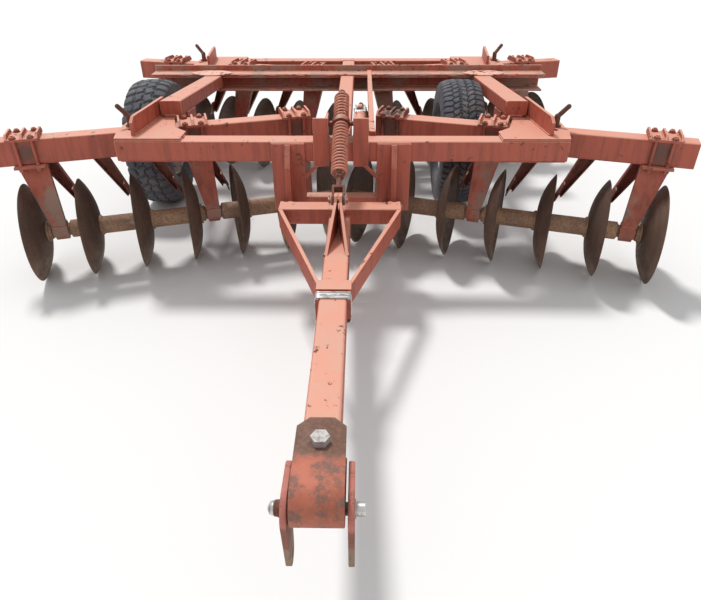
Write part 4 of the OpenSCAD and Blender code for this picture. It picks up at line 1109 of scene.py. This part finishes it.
class HARROW_OT_trim(bpy.types.Operator):
    """Lays the gussets on the rear section and winds the wire round the drawbar"""

    bl_idname = "harrow.trim"
    bl_label = "Gussets and wire"

    def wire(self):
        """A winding round a box with rounded corners.

        At turn a the point is (w |cos a|^q sign cos a, pitch a, h |sin a|^q sign sin a), with a
        little wobble in all three.
        """
        turns, q = 9, 0.16
        a = np.linspace(0, 2 * np.pi * turns, turns * 56)
        rng = np.random.default_rng(11)
        wobble = np.interp(a, np.linspace(0, a[-1], 60), rng.uniform(-1, 1, 60))
        x = (0.0655 + 0.0006 * wobble) * np.sign(np.cos(a)) * np.abs(np.cos(a)) ** q
        z = (0.0545 + 0.0006 * wobble) * np.sign(np.sin(a)) * np.abs(np.sin(a)) ** q
        y = 0.0048 * (a / (2 * np.pi) - turns / 2) + 0.0016 * wobble
        return at(0, -2034, 429.5) + np.stack([x, y, z], 1)

    def gusset(self):
        """A flat plate with pointed ends on the rear angle and the end of the rail.

        The outline at turn t is (x + w cos t, d sin t |sin t|^0.4), carried up by the plate's
        thickness.
        """
        t = np.linspace(0, 2 * np.pi, 56, endpoint=False)
        outline = np.stack([0.932 + 0.140 * np.cos(t), 0.080 * np.sin(t) * np.abs(np.sin(t)) ** 0.4], 1)
        return prism(outline, 0.006, at(0, 430, 732.4), (0, 0, 1), chamfer=0.0012, up=(0, 1, 0))

    def execute(self, context):
        piece("rear_gussets", both_sides([self.gusset()]), "root", "red_paint", "worn_edge")
        piece("drawbar_wire", [swept(self.wire(), 0.0021, 8)], "drawbar", "bolt_steel", "wire", 60)
        return {"FINISHED"}


class HARROW_OT_stage(bpy.types.Operator):
    """Lays the floor and sets the lights and the camera"""

    bl_idname = "harrow.stage"
    bl_label = "Stage"

    def floor(self, colour):
        """A plain floor of even colour, 80 m square."""
        x, y = np.meshgrid([-40.0, 40.0], [-40.0, 40.0])
        points, quads = grid(np.stack([x, y, 0 * x], -1))
        mesh = bpy.data.meshes.new("floor")
        mesh.from_pydata(points.tolist(), [], quads.tolist())
        shader = Shader("floor", roughness=0.95)
        shader.finish(colour)
        mesh.materials.append(shader.material)
        obj = bpy.data.objects.new("floor", mesh)
        bpy.context.scene.collection.objects.link(obj)

    def camera(self, stage):
        """The camera, from its place, pitch, yaw and roll."""
        p, w, r = stage.pitch, stage.yaw, stage.roll
        ahead = np.array([-math.sin(w) * math.cos(p), math.cos(w) * math.cos(p), -math.sin(p)])
        right = np.array([math.cos(w), math.sin(w), 0.0])
        up = np.cross(right, ahead)
        right, up = right * math.cos(r) + up * math.sin(r), up * math.cos(r) - right * math.sin(r)
        place = (stage.camera_x, -stage.camera_ahead, stage.camera_z)
        data = bpy.data.cameras.new("camera")
        data.sensor_width = 36.0
        data.lens = stage.lens
        data.clip_end = 200.0
        obj = bpy.data.objects.new("camera", data)
        rows = zip(np.stack([right, up, -ahead], 1), place)
        obj.matrix_world = Matrix([[*row, value] for row, value in rows] + [[0, 0, 0, 1]])
        bpy.context.scene.collection.objects.link(obj)
        bpy.context.scene.camera = obj

    def execute(self, context):
        scene = context.scene
        stage = scene.harrow_stage
        scene.view_settings.view_transform = "Standard"
        world = bpy.data.worlds.new("sky")
        scene.world = world
        world.use_nodes = True
        sky = world.node_tree.nodes["Background"]
        sky.inputs["Color"].default_value = (0.95, 0.97, 1.0, 1.0)
        sky.inputs["Strength"].default_value = stage.sky
        self.floor(tuple(scene.harrow_colours.floor))
        sun = bpy.data.lights.new("sun", "SUN")
        sun.energy = stage.lamp
        sun.angle = math.radians(9)
        lamp = bpy.data.objects.new("sun", sun)
        lamp.rotation_euler = (math.radians(-28), math.radians(-16), 0.0)
        scene.collection.objects.link(lamp)
        self.camera(stage)
        return {"FINISHED"}


class HARROW_PT_panel(bpy.types.Panel):
    """The harrow's pieces, sizes and colours"""

    bl_label = "Disc harrow"
    bl_idname = "HARROW_PT_panel"
    bl_space_type = "VIEW_3D"
    bl_region_type = "UI"
    bl_category = "Harrow"

    def draw(self, context):
        layout = self.layout
        for group_name in GROUPS:
            group = getattr(context.scene, group_name)
            box = layout.box()
            for name in group.__annotations__:
                box.prop(group, name)
        for operator in OPERATORS:
            layout.operator(operator.bl_idname)


GROUPS = {"harrow_colours": HarrowColours, "harrow_sizes": HarrowSizes, "harrow_stage": HarrowStage}
OPERATORS = (
    HARROW_OT_cad_finish,
    HARROW_OT_discs,
    HARROW_OT_spring,
    HARROW_OT_tyres,
    HARROW_OT_welds,
    HARROW_OT_fasteners,
    HARROW_OT_hitch,
    HARROW_OT_trim,
    HARROW_OT_stage,
)


def register():
    """Registers the classes and hangs the property groups on the scene."""
    for cls in (*GROUPS.values(), *OPERATORS, HARROW_PT_panel):
        bpy.utils.register_class(cls)
    for name, cls in GROUPS.items():
        setattr(bpy.types.Scene, name, bpy.props.PointerProperty(type=cls))


def unregister():
    """Takes the property groups off the scene and unregisters the classes."""
    for name in GROUPS:
        delattr(bpy.types.Scene, name)
    for cls in reversed((*GROUPS.values(), *OPERATORS, HARROW_PT_panel)):
        bpy.utils.unregister_class(cls)


def main():
    register()
    for operator in OPERATORS:
        group, name = operator.bl_idname.split(".")
        getattr(getattr(bpy.ops, group), name)()


if __name__ == "__main__":
    main()
